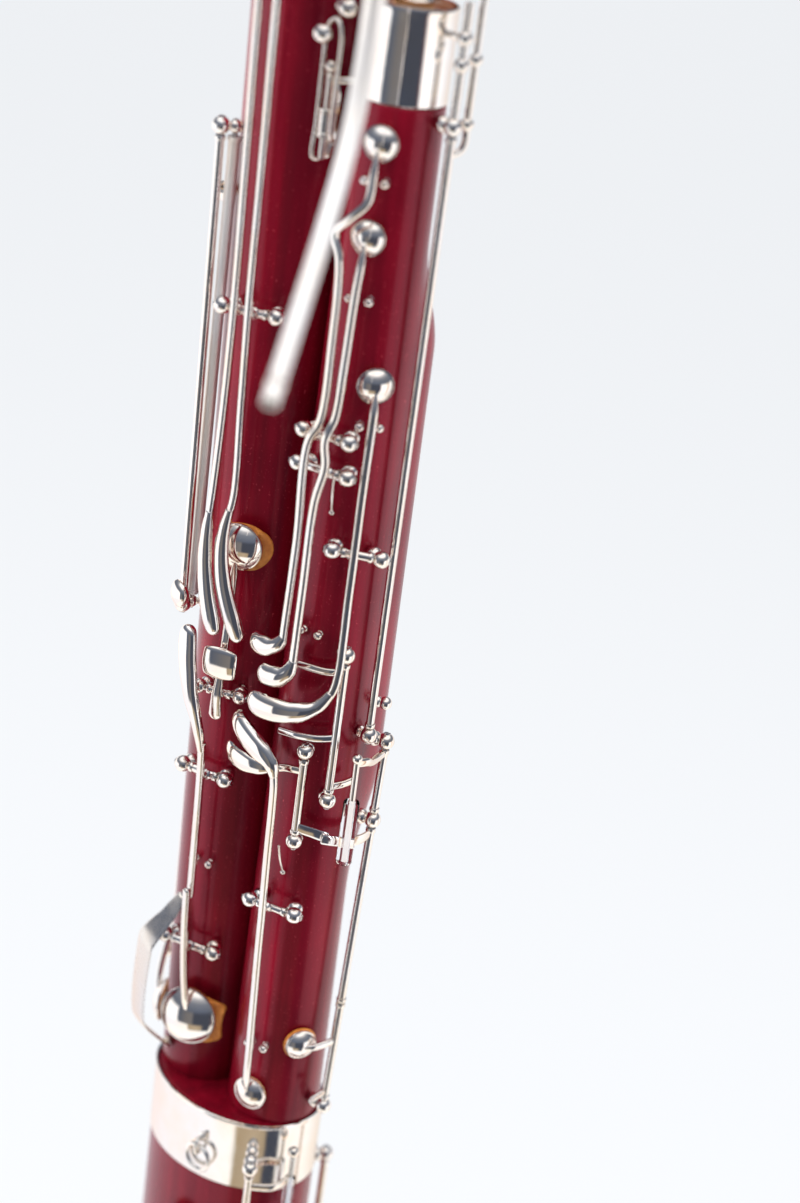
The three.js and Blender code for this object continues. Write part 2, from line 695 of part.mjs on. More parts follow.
function makeWhisperLever() {
  const spatula = lever(
    wing,
    wingPath([
      [608.5, 26, 6], [608.5, 18, 6.4], [608, 8, 6.6], [606.5, -3, 8], [606, -12, 11],
      [605.5, -24, 13], [604.5, -38, 12.6], [604, -46, 11.4],
    ]),
    { widths: [3, 3, 3, 3.6, 6, 8, 7, 4], taper: false, thickness: 2.2 },
  );
  const plate = flatArm(
    wing, wingPath([[584, 27, 6.2], [583, 40, 6.2], [581.5, 50, 6], [580.5, 57, 6]]), 4.4, 1.4,
  );
  return boreOut(union(sleeve(WHISPER_LEVER_AXLE), spatula, plate), WHISPER_LEVER_AXLE);
}

function makeTrillLink() {
  const upper = flatArm(
    wing, wingPath([[651.5, 50, 5.4], [651, 36, 5], [651, 18, 4.8], [650.8, 4, 4.8]]), 3,
  );
  const lower = flatArm(wing, wingPath([[624, 50, 5.6], [623.5, 36, 6], [623, 18, 6], [622, -4, 6]]), 3);
  const back = flatArm(wing, wingPath([[603, 54, 5.4], [603.5, 66, 5.2], [604.5, 78, 5.2]]), 3);
  return boreOut(union(sleeve(TRILL_LINK_AXLE), upper, lower, back), TRILL_LINK_AXLE);
}

// The long whisper rod: an offset bar passes its top post and carries the pad to the bocal.
function makeWhisperKey() {
  const tube = sleeve(
    WHISPER_KEY_AXLE, BALL_RADIUS + GAP, axleLength(WHISPER_KEY_AXLE) - BALL_RADIUS - GAP, 1.9,
  );
  const offset = [
    new THREE.Vector3(42.2, 1.6, 842),
    new THREE.Vector3(43.9, 5.9, 850),
    new THREE.Vector3(43.9, 5.9, 880),
    new THREE.Vector3(43.9, 5.9, 900),
    new THREE.Vector3(41, 11, 915),
    new THREE.Vector3(33, 14.6, NIPPLE_Z),
    new THREE.Vector3(19.25, 14.6, NIPPLE_Z),
  ];
  const arm = roundTube(offset, offset.map(() => 1.3), 8);
  const padMiddle = new THREE.Vector3(19.25, 11, NIPPLE_Z);
  const pad = bar(padMiddle, new THREE.Vector3(19.25, 14.8, NIPPLE_Z), 3.6, 12);
  return boreOut(union(tube, arm), WHISPER_KEY_AXLE).add(pad);
}

function sideTube(from, to) {
  return sleeve(SIDE_AXLE, from, to, 1.9);
}

const LOCK_POST = 34;
const LINK_END = 117;
const sideLength = axleLength(SIDE_AXLE);

function makeWhisperLock() {
  const tube = sideTube(BALL_RADIUS + GAP, LOCK_POST - BALL_RADIUS - GAP);
  const arm = flatArm(
    wing,
    [alongAxle(SIDE_AXLE, 5), ...wingPath([[613, 88, 9.5], [616, 76, 12.5]]), onWing(617, 66, 13.4)], 3,
    2.2,
  );
  const pin = bar(onWing(618.5, 67, 13.2), onWing(574, 67, 13.2), 1.5, 8);
  const clear = bar(onWing(600, 67, 13.2), onWing(573, 67, 13.2), 3.1, 12);
  return boreOut(union(tube, arm), SIDE_AXLE).add(pin).add(clear);
}

function makeWhisperLink() {
  const tube = sideTube(LOCK_POST + BALL_RADIUS + GAP, LINK_END - 0.4);
  const plate = flatArm(
    wing,
    [
      alongAxle(SIDE_AXLE, 40),
      ...wingPath([[577.5, 92, 8], [578.5, 76, 7.8], [580, 60, 7.7], [581, 50, 7.7]]),
    ],
    4.4,
    1.4,
  );
  return boreOut(union(tube, plate), SIDE_AXLE);
}

function makeSideKey() {
  const tube = sideTube(LINK_END + 0.4, sideLength - BALL_RADIUS - GAP);
  const arm = flatArm(
    wing, [...wingPath([[481, 61, 3.6], [481.5, 70, 6]]), alongAxle(SIDE_AXLE, sideLength - 31)], 3,
    2.2,
  );
  const tail = flatArm(wing, [alongAxle(SIDE_AXLE, sideLength - 7), onWing(457, 72, 8.5)], 3, 2);
  return boreOut(union(tube, arm, tail), SIDE_AXLE).add(cup(wing, onWing(481, 61, 0), 6.5));
}

function makeSidePosts() {
  const lockPost = alongAxle(SIDE_AXLE, LOCK_POST);
  return posts(wing, SIDE_AXLE, [lockPost]);
}

addSilver("whisper_thumb_lever", makeWhisperLever());
addSilver("whisper_lever_posts", posts(wing, WHISPER_LEVER_AXLE));
addSilver("trill_link_key", makeTrillLink());
addSilver("trill_link_posts", posts(wing, TRILL_LINK_AXLE));
addSilver("whisper_key", makeWhisperKey());
addSilver("whisper_key_posts", posts(wing, WHISPER_KEY_AXLE));
addSilver("whisper_lock_key", makeWhisperLock());
addSilver("whisper_link_rod", makeWhisperLink());
addSilver("wing_side_key", makeSideKey());
addSilver("side_rod_posts", makeSidePosts());

// ---------------------------------------------------------------- long joint thumb keys
const THUMB_LEVER_AXLE = { start: onLong(780, -5, 10), end: onLong(780, 33.5, 8) };
const THUMB_LENGTH = axleLength(THUMB_LEVER_AXLE);
const THUMB_SPLIT = THUMB_LENGTH * 0.48;
const B_PAD_AXLE = crossAxle(long, 925, 13, 45, 8);
const BELL_KEY_AXLE = crossAxle(bellSection, 1040, -12, 20, 8);
const LOW_C_AXLE = crossAxle(long, 626.5, 0.3, 35.5, 7);
const LOW_D_LEVER_AXLE = crossAxle(long, 589.3, -11.4, 30.4, 7);
const LOW_D_PAD_AXLE = crossAxle(long, 509.3, -12.3, 36, 8);

function makeBFlatLever() {
  const path = longPath([
    [970, 2, 10], [889, 2.6, 10], [830, 4.5, 10.4], [784, 6.2, 11.2], [745, 4.5, 10.5], [706, 2.5, 11], [
      694, 4, 13,
    ],
  ]);
  const touch = longPath([[697, 3.2, 12.6], [688, 5, 14], [678, 7.5, 15.4], [668, 11, 16], [655, 17, 16]]);
  const tube = sleeve(THUMB_LEVER_AXLE, BALL_RADIUS + GAP, THUMB_SPLIT - 0.2);
  const shape = [
    lever(long, path, { taper: false }),
    lever(long, touch, { widths: [3.6, 5, 5.8, 6.2, 4.2], taper: false }),
    saddle(THUMB_LEVER_AXLE, onLong(780, 6.2, 10.4)),
    tube,
  ];
  return boreOut(union(shape), THUMB_LEVER_AXLE);
}

function makeBLever() {
  const path = longPath([
    [906, 14.5, 9.5], [889, 14.3, 9.6], [830, 15.2, 10], [784, 16.3, 11.2], [745, 17, 10.4], [707, 18, 10.4],
    [698, 15.5, 12.4],
  ]);
  const touch = longPath(
    [[701, 16, 11.8], [692, 15, 13.6], [682, 17.5, 14.6], [671, 21.5, 15.4], [654, 32, 15.6]],
  );
  const tube = sleeve(THUMB_LEVER_AXLE, THUMB_SPLIT + 0.2);
  const shape = [
    lever(long, path, { taper: false }),
    lever(long, touch, { widths: [3.6, 5, 5.8, 6.2, 4.2], taper: false }),
    saddle(THUMB_LEVER_AXLE, onLong(780, 17.5, 10.4)),
    tube,
  ];
  return boreOut(union(shape), THUMB_LEVER_AXLE);
}

const OPEN_LIFT = 4.6;

function makeBPadKey() {
  const path = longPath([
    [952, 30, OPEN_LIFT + 4], [940, 29.5, OPEN_LIFT + 6.2], [925, 27, 11.2], [912, 20, 13.2], [
      901, 15.5, 13.2,
    ],
  ]);
  return rockingKey({
    joint: long, axle: B_PAD_AXLE, path, crossing: onLong(925, 27, 10.4), cupRadius: 11, openDegrees: 8.6,
  });
}

function makeBellKey() {
  const rows = [
    [1098, 10, OPEN_LIFT + 3.6], [1080, 9, OPEN_LIFT + 7], [1060, 7, 12], [1040, 5, 12.2], [1015, 4, 13.6],
    [985, 3, 15], [962, 2.2, 15],
  ];
  const path = rows.map(([z, degrees, lift]) => lifted(bellSection, z, degrees, lift));
  return rockingKey({
    joint: bellSection, axle: BELL_KEY_AXLE, path, crossing: onBell(1040, 5, 11), cupRadius: 13,
    openDegrees: 4,
  });
}

const LOW_C_OPEN = 3.6;

function makeLowCKey() {
  const path = longPath([
    [688, 22, LOW_C_OPEN + 4], [676, 21, 6.6], [662, 20, 6.2], [648, 19.3, 6.6], [634, 18.5, 7.6],
    [626.5, 18, 8.6], [619, 17, 7.5],
  ]);
  const touch = longPath([[635, 19.3, 10.2], [641, 19.3, 11.2], [647.5, 19.3, 10.2]]);
  const stem = bar(onLong(641, 19.3, 6.5), onLong(641, 19.3, 10.5), 1.8, 8);
  const solid = rockingKey({
    joint: long, axle: LOW_C_AXLE, path, crossing: onLong(626.5, 18, 7.6), cupRadius: 9.5, openDegrees: 2.9,
    touch, touchWidths: [13, 14, 13],
  });
  return union(solid, stem);
}

function makeLowDLever() {
  const path = longPath([
    [606, 12.6, 11.4], [589.5, 12.6, 10.4], [579, 12.2, 9.6], [555, 12, 9], [533, 11.8, 8.6],
  ]);
  const touch = longPath([
    [653.5, -4.2, 13.6], [646, -2.8, 14.2], [636, 0, 14.2], [625, 4.2, 13.8], [614, 9.2, 12.8], [
      603, 12.8, 11,
    ],
  ]);
  const shape = [
    sleeve(LOW_D_LEVER_AXLE),
    lever(long, path, { taper: false }),
    lever(long, touch, { widths: [6.5, 8.4, 8, 6.4, 4.2, 3.2], taper: false, thickness: 3 }),
    saddle(LOW_D_LEVER_AXLE, onLong(589.3, 12.6, 9.6)),
  ];
  return boreOut(union(shape), LOW_D_LEVER_AXLE);
}

function makeLowDPadKey() {
  const path = longPath([
    [475.5, 19, OPEN_LIFT + 4.4], [486, 17.5, OPEN_LIFT + 6], [498, 15.5, 11.2], [509.3, 14, 11.6],
    [522, 13, 12], [539, 12, 12],
  ]);
  return rockingKey({
    joint: long, axle: LOW_D_PAD_AXLE, path, crossing: onLong(509.3, 14, 10.8), cupRadius: 12.4,
    openDegrees: -6.9,
  });
}

addSilver("low_b_flat_lever", makeBFlatLever());
addSilver("low_b_lever", makeBLever());
addSilver("thumb_lever_posts", posts(long, THUMB_LEVER_AXLE));
addSilver("low_b_pad_key", makeBPadKey());
addSilver("low_b_pad_posts", posts(long, B_PAD_AXLE));
addSilver("bell_key", makeBellKey());
addSilver("bell_key_posts", posts(bellSection, BELL_KEY_AXLE));
addSilver("low_c_key", makeLowCKey());
addSilver("low_c_posts", posts(long, LOW_C_AXLE));
addSilver("low_d_thumb_lever", makeLowDLever());
addSilver("low_d_lever_posts", posts(long, LOW_D_LEVER_AXLE));
addSilver("low_d_pad_key", makeLowDPadKey());
addSilver("low_d_pad_posts", posts(long, LOW_D_PAD_AXLE));

// ---------------------------------------------------------------- little-finger keys
const TOUCH_ROD_AXLE = {
  start: new THREE.Vector3(-38.2, -26.6, 841), end: new THREE.Vector3(-35.4, -25.4, 655),
};
const PAD_ROD_AXLE = { start: new THREE.Vector3(-35, -22.6, 841), end: new THREE.Vector3(-35.2, -21, 655) };
const SMALL_BALL = 2.4;
const E_FLAT_AXLE = { start: onLong(655, -96, 7), end: onLong(478, -96, 8) };

function makeLowCSharpLever() {
  const tube = sleeve(
    TOUCH_ROD_AXLE, BALL_RADIUS + GAP, axleLength(TOUCH_ROD_AXLE) - BALL_RADIUS - GAP, 1.8,
  );
  const touch = longPath([[662, -27.5, 11.6], [662, -20, 12.4], [661.5, -13, 12]]);
  const stem = bar(alongAxle(TOUCH_ROD_AXLE, 179), onLong(662, -24, 11.8), 1.4, 8);
  return boreOut(
    union(tube, lever(long, touch, { widths: [8, 10, 8], taper: false, thickness: 3 }), stem),
    TOUCH_ROD_AXLE,
  );
}

function makeLowCSharpPad() {
  const tube = sleeve(PAD_ROD_AXLE, BALL_RADIUS + GAP, axleLength(PAD_ROD_AXLE) - BALL_RADIUS - GAP, 2.1);
  const path = longPath([[815, -48, 7], [815, -60, 6.4], [815, -74, 4.6]]);
  const arm = flatArm(long, [alongAxle(PAD_ROD_AXLE, 26), ...path], 4, 2.4);
  const pad = cup(long, onLong(815, -74, 0), 9);
  return boreOut(union(tube, arm), PAD_ROD_AXLE).add(pad);
}

function makeRodPosts() {
  const inner = posts(long, PAD_ROD_AXLE, [], SMALL_BALL);
  const outer = [ball(TOUCH_ROD_AXLE.start), ball(TOUCH_ROD_AXLE.end)];
  return union(inner, outer, bar(TOUCH_ROD_AXLE.start, TOUCH_ROD_AXLE.end, ROD_RADIUS));
}

function makeEFlatKey() {
  const tube = sleeve(E_FLAT_AXLE);
  const path = longPath([[482, -86, 7.4], [470, -75, 6.6], [462, -66, 4.6]]);
  const arm = flatArm(long, [alongAxle(E_FLAT_AXLE, 165), ...path], 4, 2.4);
  const pad = cup(long, onLong(462, -66, 0), 9.5);
  const touch = longPath([[640, -97, 7.5], [640, -104, 10.5], [641, -112, 12], [642, -123, 12]]);
  const shape = lever(long, touch, { widths: [3.4, 6, 10, 7], taper: false });
  return boreOut(union(tube, arm, shape), E_FLAT_AXLE).add(pad);
}

addSilver("low_c_sharp_lever", makeLowCSharpLever());
addSilver("low_c_sharp_pad_key", makeLowCSharpPad());
addSilver("low_c_sharp_posts", makeRodPosts());
addSilver("low_e_flat_key", makeEFlatKey());
addSilver("low_e_flat_posts", posts(long, E_FLAT_AXLE));

// ---------------------------------------------------------------- boot keys
const BOOT_THUMB_AXLE = { start: onBoot(424, 44, 8), end: onBoot(230, 44, 8) };
const BOOT_FINGER_AXLE = { start: onBoot(400, 142, 8), end: onBoot(140, 142, 8) };

function bootKey(axle, from, to, armDistance, path, cupRadius, cupAt, openDegrees) {
  const tube = sleeve(axle, from, to);
  const arm = lever(null, [alongAxle(axle, armDistance), ...path], {
    widths: [4, ...path.map(() => 4.4)], taper: false,
  });
  const pad = cup(null, cupAt, cupRadius, axle, openDegrees);
  return boreOut(union(tube, arm), axle).add(pad);
}

function makeLowEKey() {
  const path = [onBoot(372, 30, 10.2), onBoot(372, 14, 9.4), onBoot(372, 4, OPEN_LIFT + 4.4)];
  const key = bootKey(BOOT_THUMB_AXLE, 3.4, 97, 52, path, 14, onBoot(372, 2, 0), -7.4);
  const linkArm = flatArm(
    null, [alongAxle(BOOT_THUMB_AXLE, 9), onBoot(416, 58, 9), onBoot(417, 70, 6)], 3.4, 2,
  );
  return key.add(linkArm.subtract(bar(BOOT_THUMB_AXLE.start, BOOT_THUMB_AXLE.end, TUBE_BORE, 10)));
}

function makeBFlatThumbKey() {
  const path = [onBoot(282, 32, 7.6), onBoot(282, 20, 6), onBoot(282, 12, 4.6)];
  const key = bootKey(
    BOOT_THUMB_AXLE, 98, axleLength(BOOT_THUMB_AXLE) - 3.4, 142, path, 9, onBoot(282, 10, 0), 0,
  );
  const touch = lever(null, [onBoot(312, 46, 9.6), onBoot(312, 56, 11.5), onBoot(313, 66, 12)], {
    widths: [4, 8, 9], taper: false,
  });
  return key.add(touch);
}

function makeGKey() {
  const path = [onBoot(345, 156, 10.2), onBoot(345, 168, 9.4), onBoot(345, 176, OPEN_LIFT + 4.4)];
  return bootKey(BOOT_FINGER_AXLE, 3.4, 129, 55, path, 10, onBoot(345, 178, 0), 8.4);
}

function makeLowFKey() {
  const path = [onBoot(205, 156, 10.2), onBoot(205, 168, 9.4), onBoot(205, 174, OPEN_LIFT + 4.4)];
  return bootKey(
    BOOT_FINGER_AXLE, 130, axleLength(BOOT_FINGER_AXLE) - 3.4, 195, path, 14, onBoot(205, 178, 0), 8.4,
  );
}

addSilver("low_e_key", makeLowEKey());
addSilver("b_flat_thumb_key", makeBFlatThumbKey());
addSilver("boot_thumb_posts", posts(null, BOOT_THUMB_AXLE));
addSilver("g_key", makeGKey());
addSilver("low_f_key", makeLowFKey());
addSilver("boot_finger_posts", posts(null, BOOT_FINGER_AXLE));

// ---------------------------------------------------------------- guard, lock and strap ring
function makeKeyGuard() {
  const points = longPath([
    [527, -12, 1.4], [517, -16, 7.5], [508, -20, 13], [497, -22, 15.4], [480, -22, 15.6], [466, -21, 13.5],
    [457, -20, 7.5], [450, -18.5, 1.4],
  ]);
  return lever(long, points, { widths: [6, 8, 10, 11, 11, 10, 8, 6], taper: false, thickness: 1.2 });
}

function makeLockPin() {
  const low = new THREE.Vector3(LOCK_X, LOCK_Y - 2.6, 838);
  const high = new THREE.Vector3(LOCK_X, LOCK_Y - 2.6, 871);
  return union(bar(low, high, 1.1), ball(high.clone().setZ(872), SMALL_BALL));
}

function makeStrapRing() {
  const geometry = new THREE.TorusGeometry(STRAP_RING_RADIUS, 1, 6, 14);
  geometry.rotateX(Math.PI / 2);
  const hang = onBoot(STAPLE_Z, STAPLE_DEGREES, 2.7);
  const out = outward(null, hang);
  geometry.rotateZ(Math.atan2(out.y, out.x) - Math.PI / 2);
  geometry.translate(hang.x, hang.y, hang.z - STRAP_RING_RADIUS);
  return toSolid(geometry);
}

addSilver("key_guard", makeKeyGuard());
addSilver("body_lock_pin", makeLockPin());
addSilver("strap_ring", makeStrapRing());

export default model;
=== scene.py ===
"""The bassoon's looks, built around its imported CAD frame. Lengths are millimetres until a mesh is made."""
import math

import bmesh
import bpy
from mathutils import Matrix, Quaternion, Vector


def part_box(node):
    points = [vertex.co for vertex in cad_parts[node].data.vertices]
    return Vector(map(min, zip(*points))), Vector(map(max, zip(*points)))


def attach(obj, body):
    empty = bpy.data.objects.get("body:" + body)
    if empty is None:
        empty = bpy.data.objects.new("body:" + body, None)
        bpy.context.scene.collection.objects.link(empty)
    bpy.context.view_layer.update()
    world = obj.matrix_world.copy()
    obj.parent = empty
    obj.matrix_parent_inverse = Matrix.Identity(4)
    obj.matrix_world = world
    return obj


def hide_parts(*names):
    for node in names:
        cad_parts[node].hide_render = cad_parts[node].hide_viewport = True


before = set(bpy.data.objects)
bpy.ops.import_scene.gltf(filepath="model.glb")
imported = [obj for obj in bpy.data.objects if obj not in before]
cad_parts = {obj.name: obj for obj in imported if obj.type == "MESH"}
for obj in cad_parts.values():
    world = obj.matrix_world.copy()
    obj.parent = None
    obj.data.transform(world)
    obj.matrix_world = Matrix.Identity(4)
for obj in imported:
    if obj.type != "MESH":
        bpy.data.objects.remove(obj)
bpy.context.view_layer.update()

MM = 0.001
UP = Vector((0, 0, 1))
THUMB_SIDE = Vector((0, -1, 0))

# ------------------------------------------------------------------ sizes taken from the frame


def span(node_name):
    low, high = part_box(node_name)
    return low / MM, high / MM


def middle(node_name):
    low, high = span(node_name)
    return (low + high) / 2


BOOT_LOW, BOOT_HIGH = span("boot_joint")
BOOT_TOP = BOOT_HIGH.z
BOOT_HALF_X = BOOT_HIGH.x
BOOT_HALF_Y = BOOT_HIGH.y
CAP_LOW, CAP_TOP = (corner.z for corner in span("boot_bottom_cap"))
BAND_LOW = span("boot_top_band")[0].z
WING_X = middle("wing_tenon_cork").x
LONG_X = middle("long_tenon_cork").x
BELL_X = middle("bell_rim_ring").x
WING_TOP = span("wing_ferrule")[1].z
BELL_RING_LOW, BELL_RING_TOP = (corner.z for corner in span("bell_lower_ring"))
RIM_LOW, BELL_TOP = (corner.z for corner in span("bell_rim_ring"))
LONG_TOP = BELL_RING_LOW - 0.3
BAND_PROUD = 0.5
NIPPLE_Z = 921

# ------------------------------------------------------------------ the three round joints


def ramp(z):
    """0 at the top of the boot and 1 at the top of the wing joint."""
    return (z - BOOT_TOP) / (WING_TOP - BOOT_TOP)


def smoothstep(value, low, high):
    t = min(1, max(0, (value - low) / (high - low)))
    return t * t * (3 - 2 * t)


def turning(degrees):
    """The cosine and the sine of an angle."""
    angle = math.radians(degrees)
    return math.cos(angle), math.sin(angle)


class Joint:
    """A round joint: its middle line, its radius at a height and any swelling on one side."""

    def __init__(self, centre, radius, swell=lambda z, degrees: 0):
        self.centre = centre
        self.radius = radius
        self.swell = swell


def wing_swell(z, degrees):
    """How far the wing that carries the finger holes stands out."""
    along = smoothstep(z, 545, 600) * (1 - smoothstep(z, 770, 815))
    return 10 * along * math.exp(-(((degrees - 160) / 30) ** 2))


def bell_radius(z):
    return 26.4 - 1.2 * math.sin(math.pi * (z - LONG_TOP) / (BELL_TOP - LONG_TOP))


WING = Joint(lambda z: WING_X, lambda z: 19.2 - 3.7 * ramp(z), wing_swell)
LONG = Joint(lambda z: LONG_X - 2.25 * max(0, ramp(z)), lambda z: 19.0 + 5.3 * ramp(z))
BELL = Joint(lambda z: BELL_X, bell_radius)

# The boot is an oval that is the same at every height, so it needs no Joint. Outwards on it is measured
# from a line between its two bores, this far each way from the middle.
BOOT = None
BOOT_FLAT = 12


def site(joint, z, degrees, lift):
    """The point standing lift above the wood; 0 degrees faces the thumb side and grows towards +X."""
    cos, sin = turning(degrees)
    if joint is BOOT:
        return Vector(((BOOT_HALF_X + lift) * sin, -(BOOT_HALF_Y + lift) * cos, z))
    reach = joint.radius(z) + lift
    return Vector((joint.centre(z) + reach * sin, -reach * cos, z))


def sites(joint, rows):
    """Points from rows of height, degrees and lift; a row that is a point already is kept."""
    return [row if isinstance(row, Vector) else site(joint, *row) for row in rows]


def outward(joint, point):
    centre = joint.centre(point.z) if joint else max(-BOOT_FLAT, min(BOOT_FLAT, point.x))
    return Vector((point.x - centre, point.y, 0)).normalized()


def lift_of(joint, point):
    """How far a point stands off the wood."""
    if joint:
        x = point.x - joint.centre(point.z)
        degrees = math.degrees(math.atan2(x, -point.y)) % 360
        return math.hypot(x, point.y) - joint.radius(point.z) - joint.swell(point.z, degrees)
    out = outward(joint, point)
    lift = 0
    while ((point.x - out.x * lift) / BOOT_HALF_X) ** 2 + ((point.y - out.y * lift) / BOOT_HALF_Y) ** 2 > 1:
        lift += 0.05
    return lift


# ------------------------------------------------------------------ materials

EVEN = (1, 1, 1)
BLACK = (0, 0, 0)
WHITE = (1.0, 1.0, 1.0)


def node(tree, kind, **settings):
    made = tree.nodes.new(kind)
    for key, value in settings.items():
        if key in made.inputs:
            made.inputs[key].default_value = value
        else:
            setattr(made, key, value)
    return made


def object_noise(tree, scale, stretch=EVEN, detail=4.0, roughness=0.55):
    coordinates = node(tree, "ShaderNodeTexCoord")
    mapping = node(tree, "ShaderNodeMapping", Scale=stretch)
    noise = node(tree, "ShaderNodeTexNoise", Scale=scale, Detail=detail, Roughness=roughness)
    tree.links.new(coordinates.outputs["Object"], mapping.inputs["Vector"])
    tree.links.new(mapping.outputs["Vector"], noise.inputs["Vector"])
    return noise.outputs["Fac"]


def colour_ramp(tree, source, stops):
    made = node(tree, "ShaderNodeValToRGB")
    elements = made.color_ramp.elements
    while len(elements) < len(stops):
        elements.new(0.5)
    for element, (position, colour) in zip(elements, stops):
        element.position = position
        element.color = (*colour, 1)
    tree.links.new(source, made.inputs["Fac"])
    return made.outputs["Color"]


def mix_colours(tree, factor, first, second, blend="MIX"):
    """Mixes two colours; each of the three inputs is a value or a socket."""
    mix = node(tree, "ShaderNodeMix", data_type="RGBA", blend_type=blend)
    for socket, value in ((mix.inputs[0], factor), (mix.inputs[6], first), (mix.inputs[7], second)):
        if isinstance(value, bpy.types.NodeSocket):
            tree.links.new(value, socket)
        else:
            socket.default_value = value
    return mix.outputs[2]


def map_range(tree, source, low, high, to=(0, 1), kind="LINEAR"):
    """Carries the source's run from low to high onto another run."""
    made = node(tree, "ShaderNodeMapRange", interpolation_type=kind)
    for name, value in (("From Min", low), ("From Max", high), ("To Min", to[0]), ("To Max", to[1])):
        made.inputs[name].default_value = value
    tree.links.new(source, made.inputs["Value"])
    return made.outputs["Result"]


def add_bump(tree, shader, source, strength, distance):
    bump = node(tree, "ShaderNodeBump", Strength=strength, Distance=distance)
    tree.links.new(source, bump.inputs["Height"])
    tree.links.new(bump.outputs["Normal"], shader.inputs["Normal"])
    return bump.outputs["Normal"]


def start_material(name, settings):
    material = bpy.data.materials.new(name)
    material.use_nodes = True
    tree = material.node_tree
    shader = tree.nodes["Principled BSDF"]
    for key, value in settings.items():
        shader.inputs[key].default_value = value
    return material, tree, shader


def mottled(name, noise, stops, settings, bump=None, bump_noise=None):
    """A material whose colour follows noise over the object, with a bump from it or from finer noise."""
    material, tree, shader = start_material(name, settings)
    tone = object_noise(tree, *noise)
    tree.links.new(colour_ramp(tree, tone, stops), shader.inputs["Base Color"])
    if bump:
        add_bump(tree, shader, object_noise(tree, *bump_noise) if bump_noise else tone, *bump)
    return material


def make_wood():
    """Deep crimson stain over fine grain, under lacquer that is a little wavy."""
    material, tree, shader = start_material("lacquered_maple", {
        "Roughness": 0.24, "IOR": 1.62, "Specular Tint": (1.0, 0.22, 0.33, 1),
        "Coat Weight": 0.14, "Coat Roughness": 0.05,
    })
    grain = colour_ramp(tree, object_noise(tree, 150, (1, 1, 0.035), 6.0, 0.6), [
        (0.3, (0.125, 0.002, 0.009)), (0.55, (0.20, 0.003, 0.013)), (0.75, (0.29, 0.005, 0.021)),
    ])
    figure = colour_ramp(tree, object_noise(tree, 26, (1, 1, 0.9), 3.0, 0.5), [
        (0.3, (0.60, 0.60, 0.62)), (0.7, WHITE),
    ])
    stained = mix_colours(tree, 1.0, grain, figure, "MULTIPLY")
    specks = colour_ramp(tree, object_noise(tree, 1300, EVEN, 1.0, 0.4), [
        (0.70, BLACK), (0.78, (0.38, 0.38, 0.38)),
    ])
    colour = mix_colours(tree, specks, stained, (0.72, 0.09, 0.11, 1))
    tree.links.new(colour, shader.inputs["Base Color"])
    waves = add_bump(tree, shader, object_noise(tree, 9, (1, 1, 0.4), 2.0, 0.5), 0.12, 0.004)
    tree.links.new(waves, shader.inputs["Coat Normal"])
    return material


def make_silver(name, tint, warm, rough):
    """Polished plate with faint patches, wear and dents, and a painted warm reflection in its colour where
    it is seen edge on.
    """
    material, tree, shader = start_material(name, {"Metallic": 1.0})
    patches = colour_ramp(tree, object_noise(tree, 60, (1, 1, 0.6), 3.0, 0.6), [(0.38, tint), (0.72, warm)])
    # Painted reflection: the base colour is mixed towards peach where the surface is seen edge on, standing
    # in for warm reflections.
    facing = node(tree, "ShaderNodeLayerWeight").outputs["Facing"]
    painted_edge_reflection = colour_ramp(tree, facing, [(0.55, BLACK), (0.92, (0.9, 0.9, 0.9))])
    colour = mix_colours(tree, painted_edge_reflection, patches, (0.98, 0.74, 0.55, 1))
    tree.links.new(colour, shader.inputs["Base Color"])
    wear = object_noise(tree, 420, EVEN, 4.0, 0.65)
    roughness = map_range(tree, wear, 0.35, 0.75, (rough, rough + 0.09))
    tree.links.new(roughness, shader.inputs["Roughness"])
    add_bump(tree, shader, object_noise(tree, 75, (1, 1, 0.7), 2.0, 0.5), 0.10, 0.0012)
    return material


def make_leather(name, low, high):
    tones = [(0.35, low), (0.7, high)]
    pores = (2600, EVEN, 3.0)
    return mottled(name, (320, EVEN, 5.0), tones, {"Roughness": 0.5}, (0.45, 0.0002), pores)


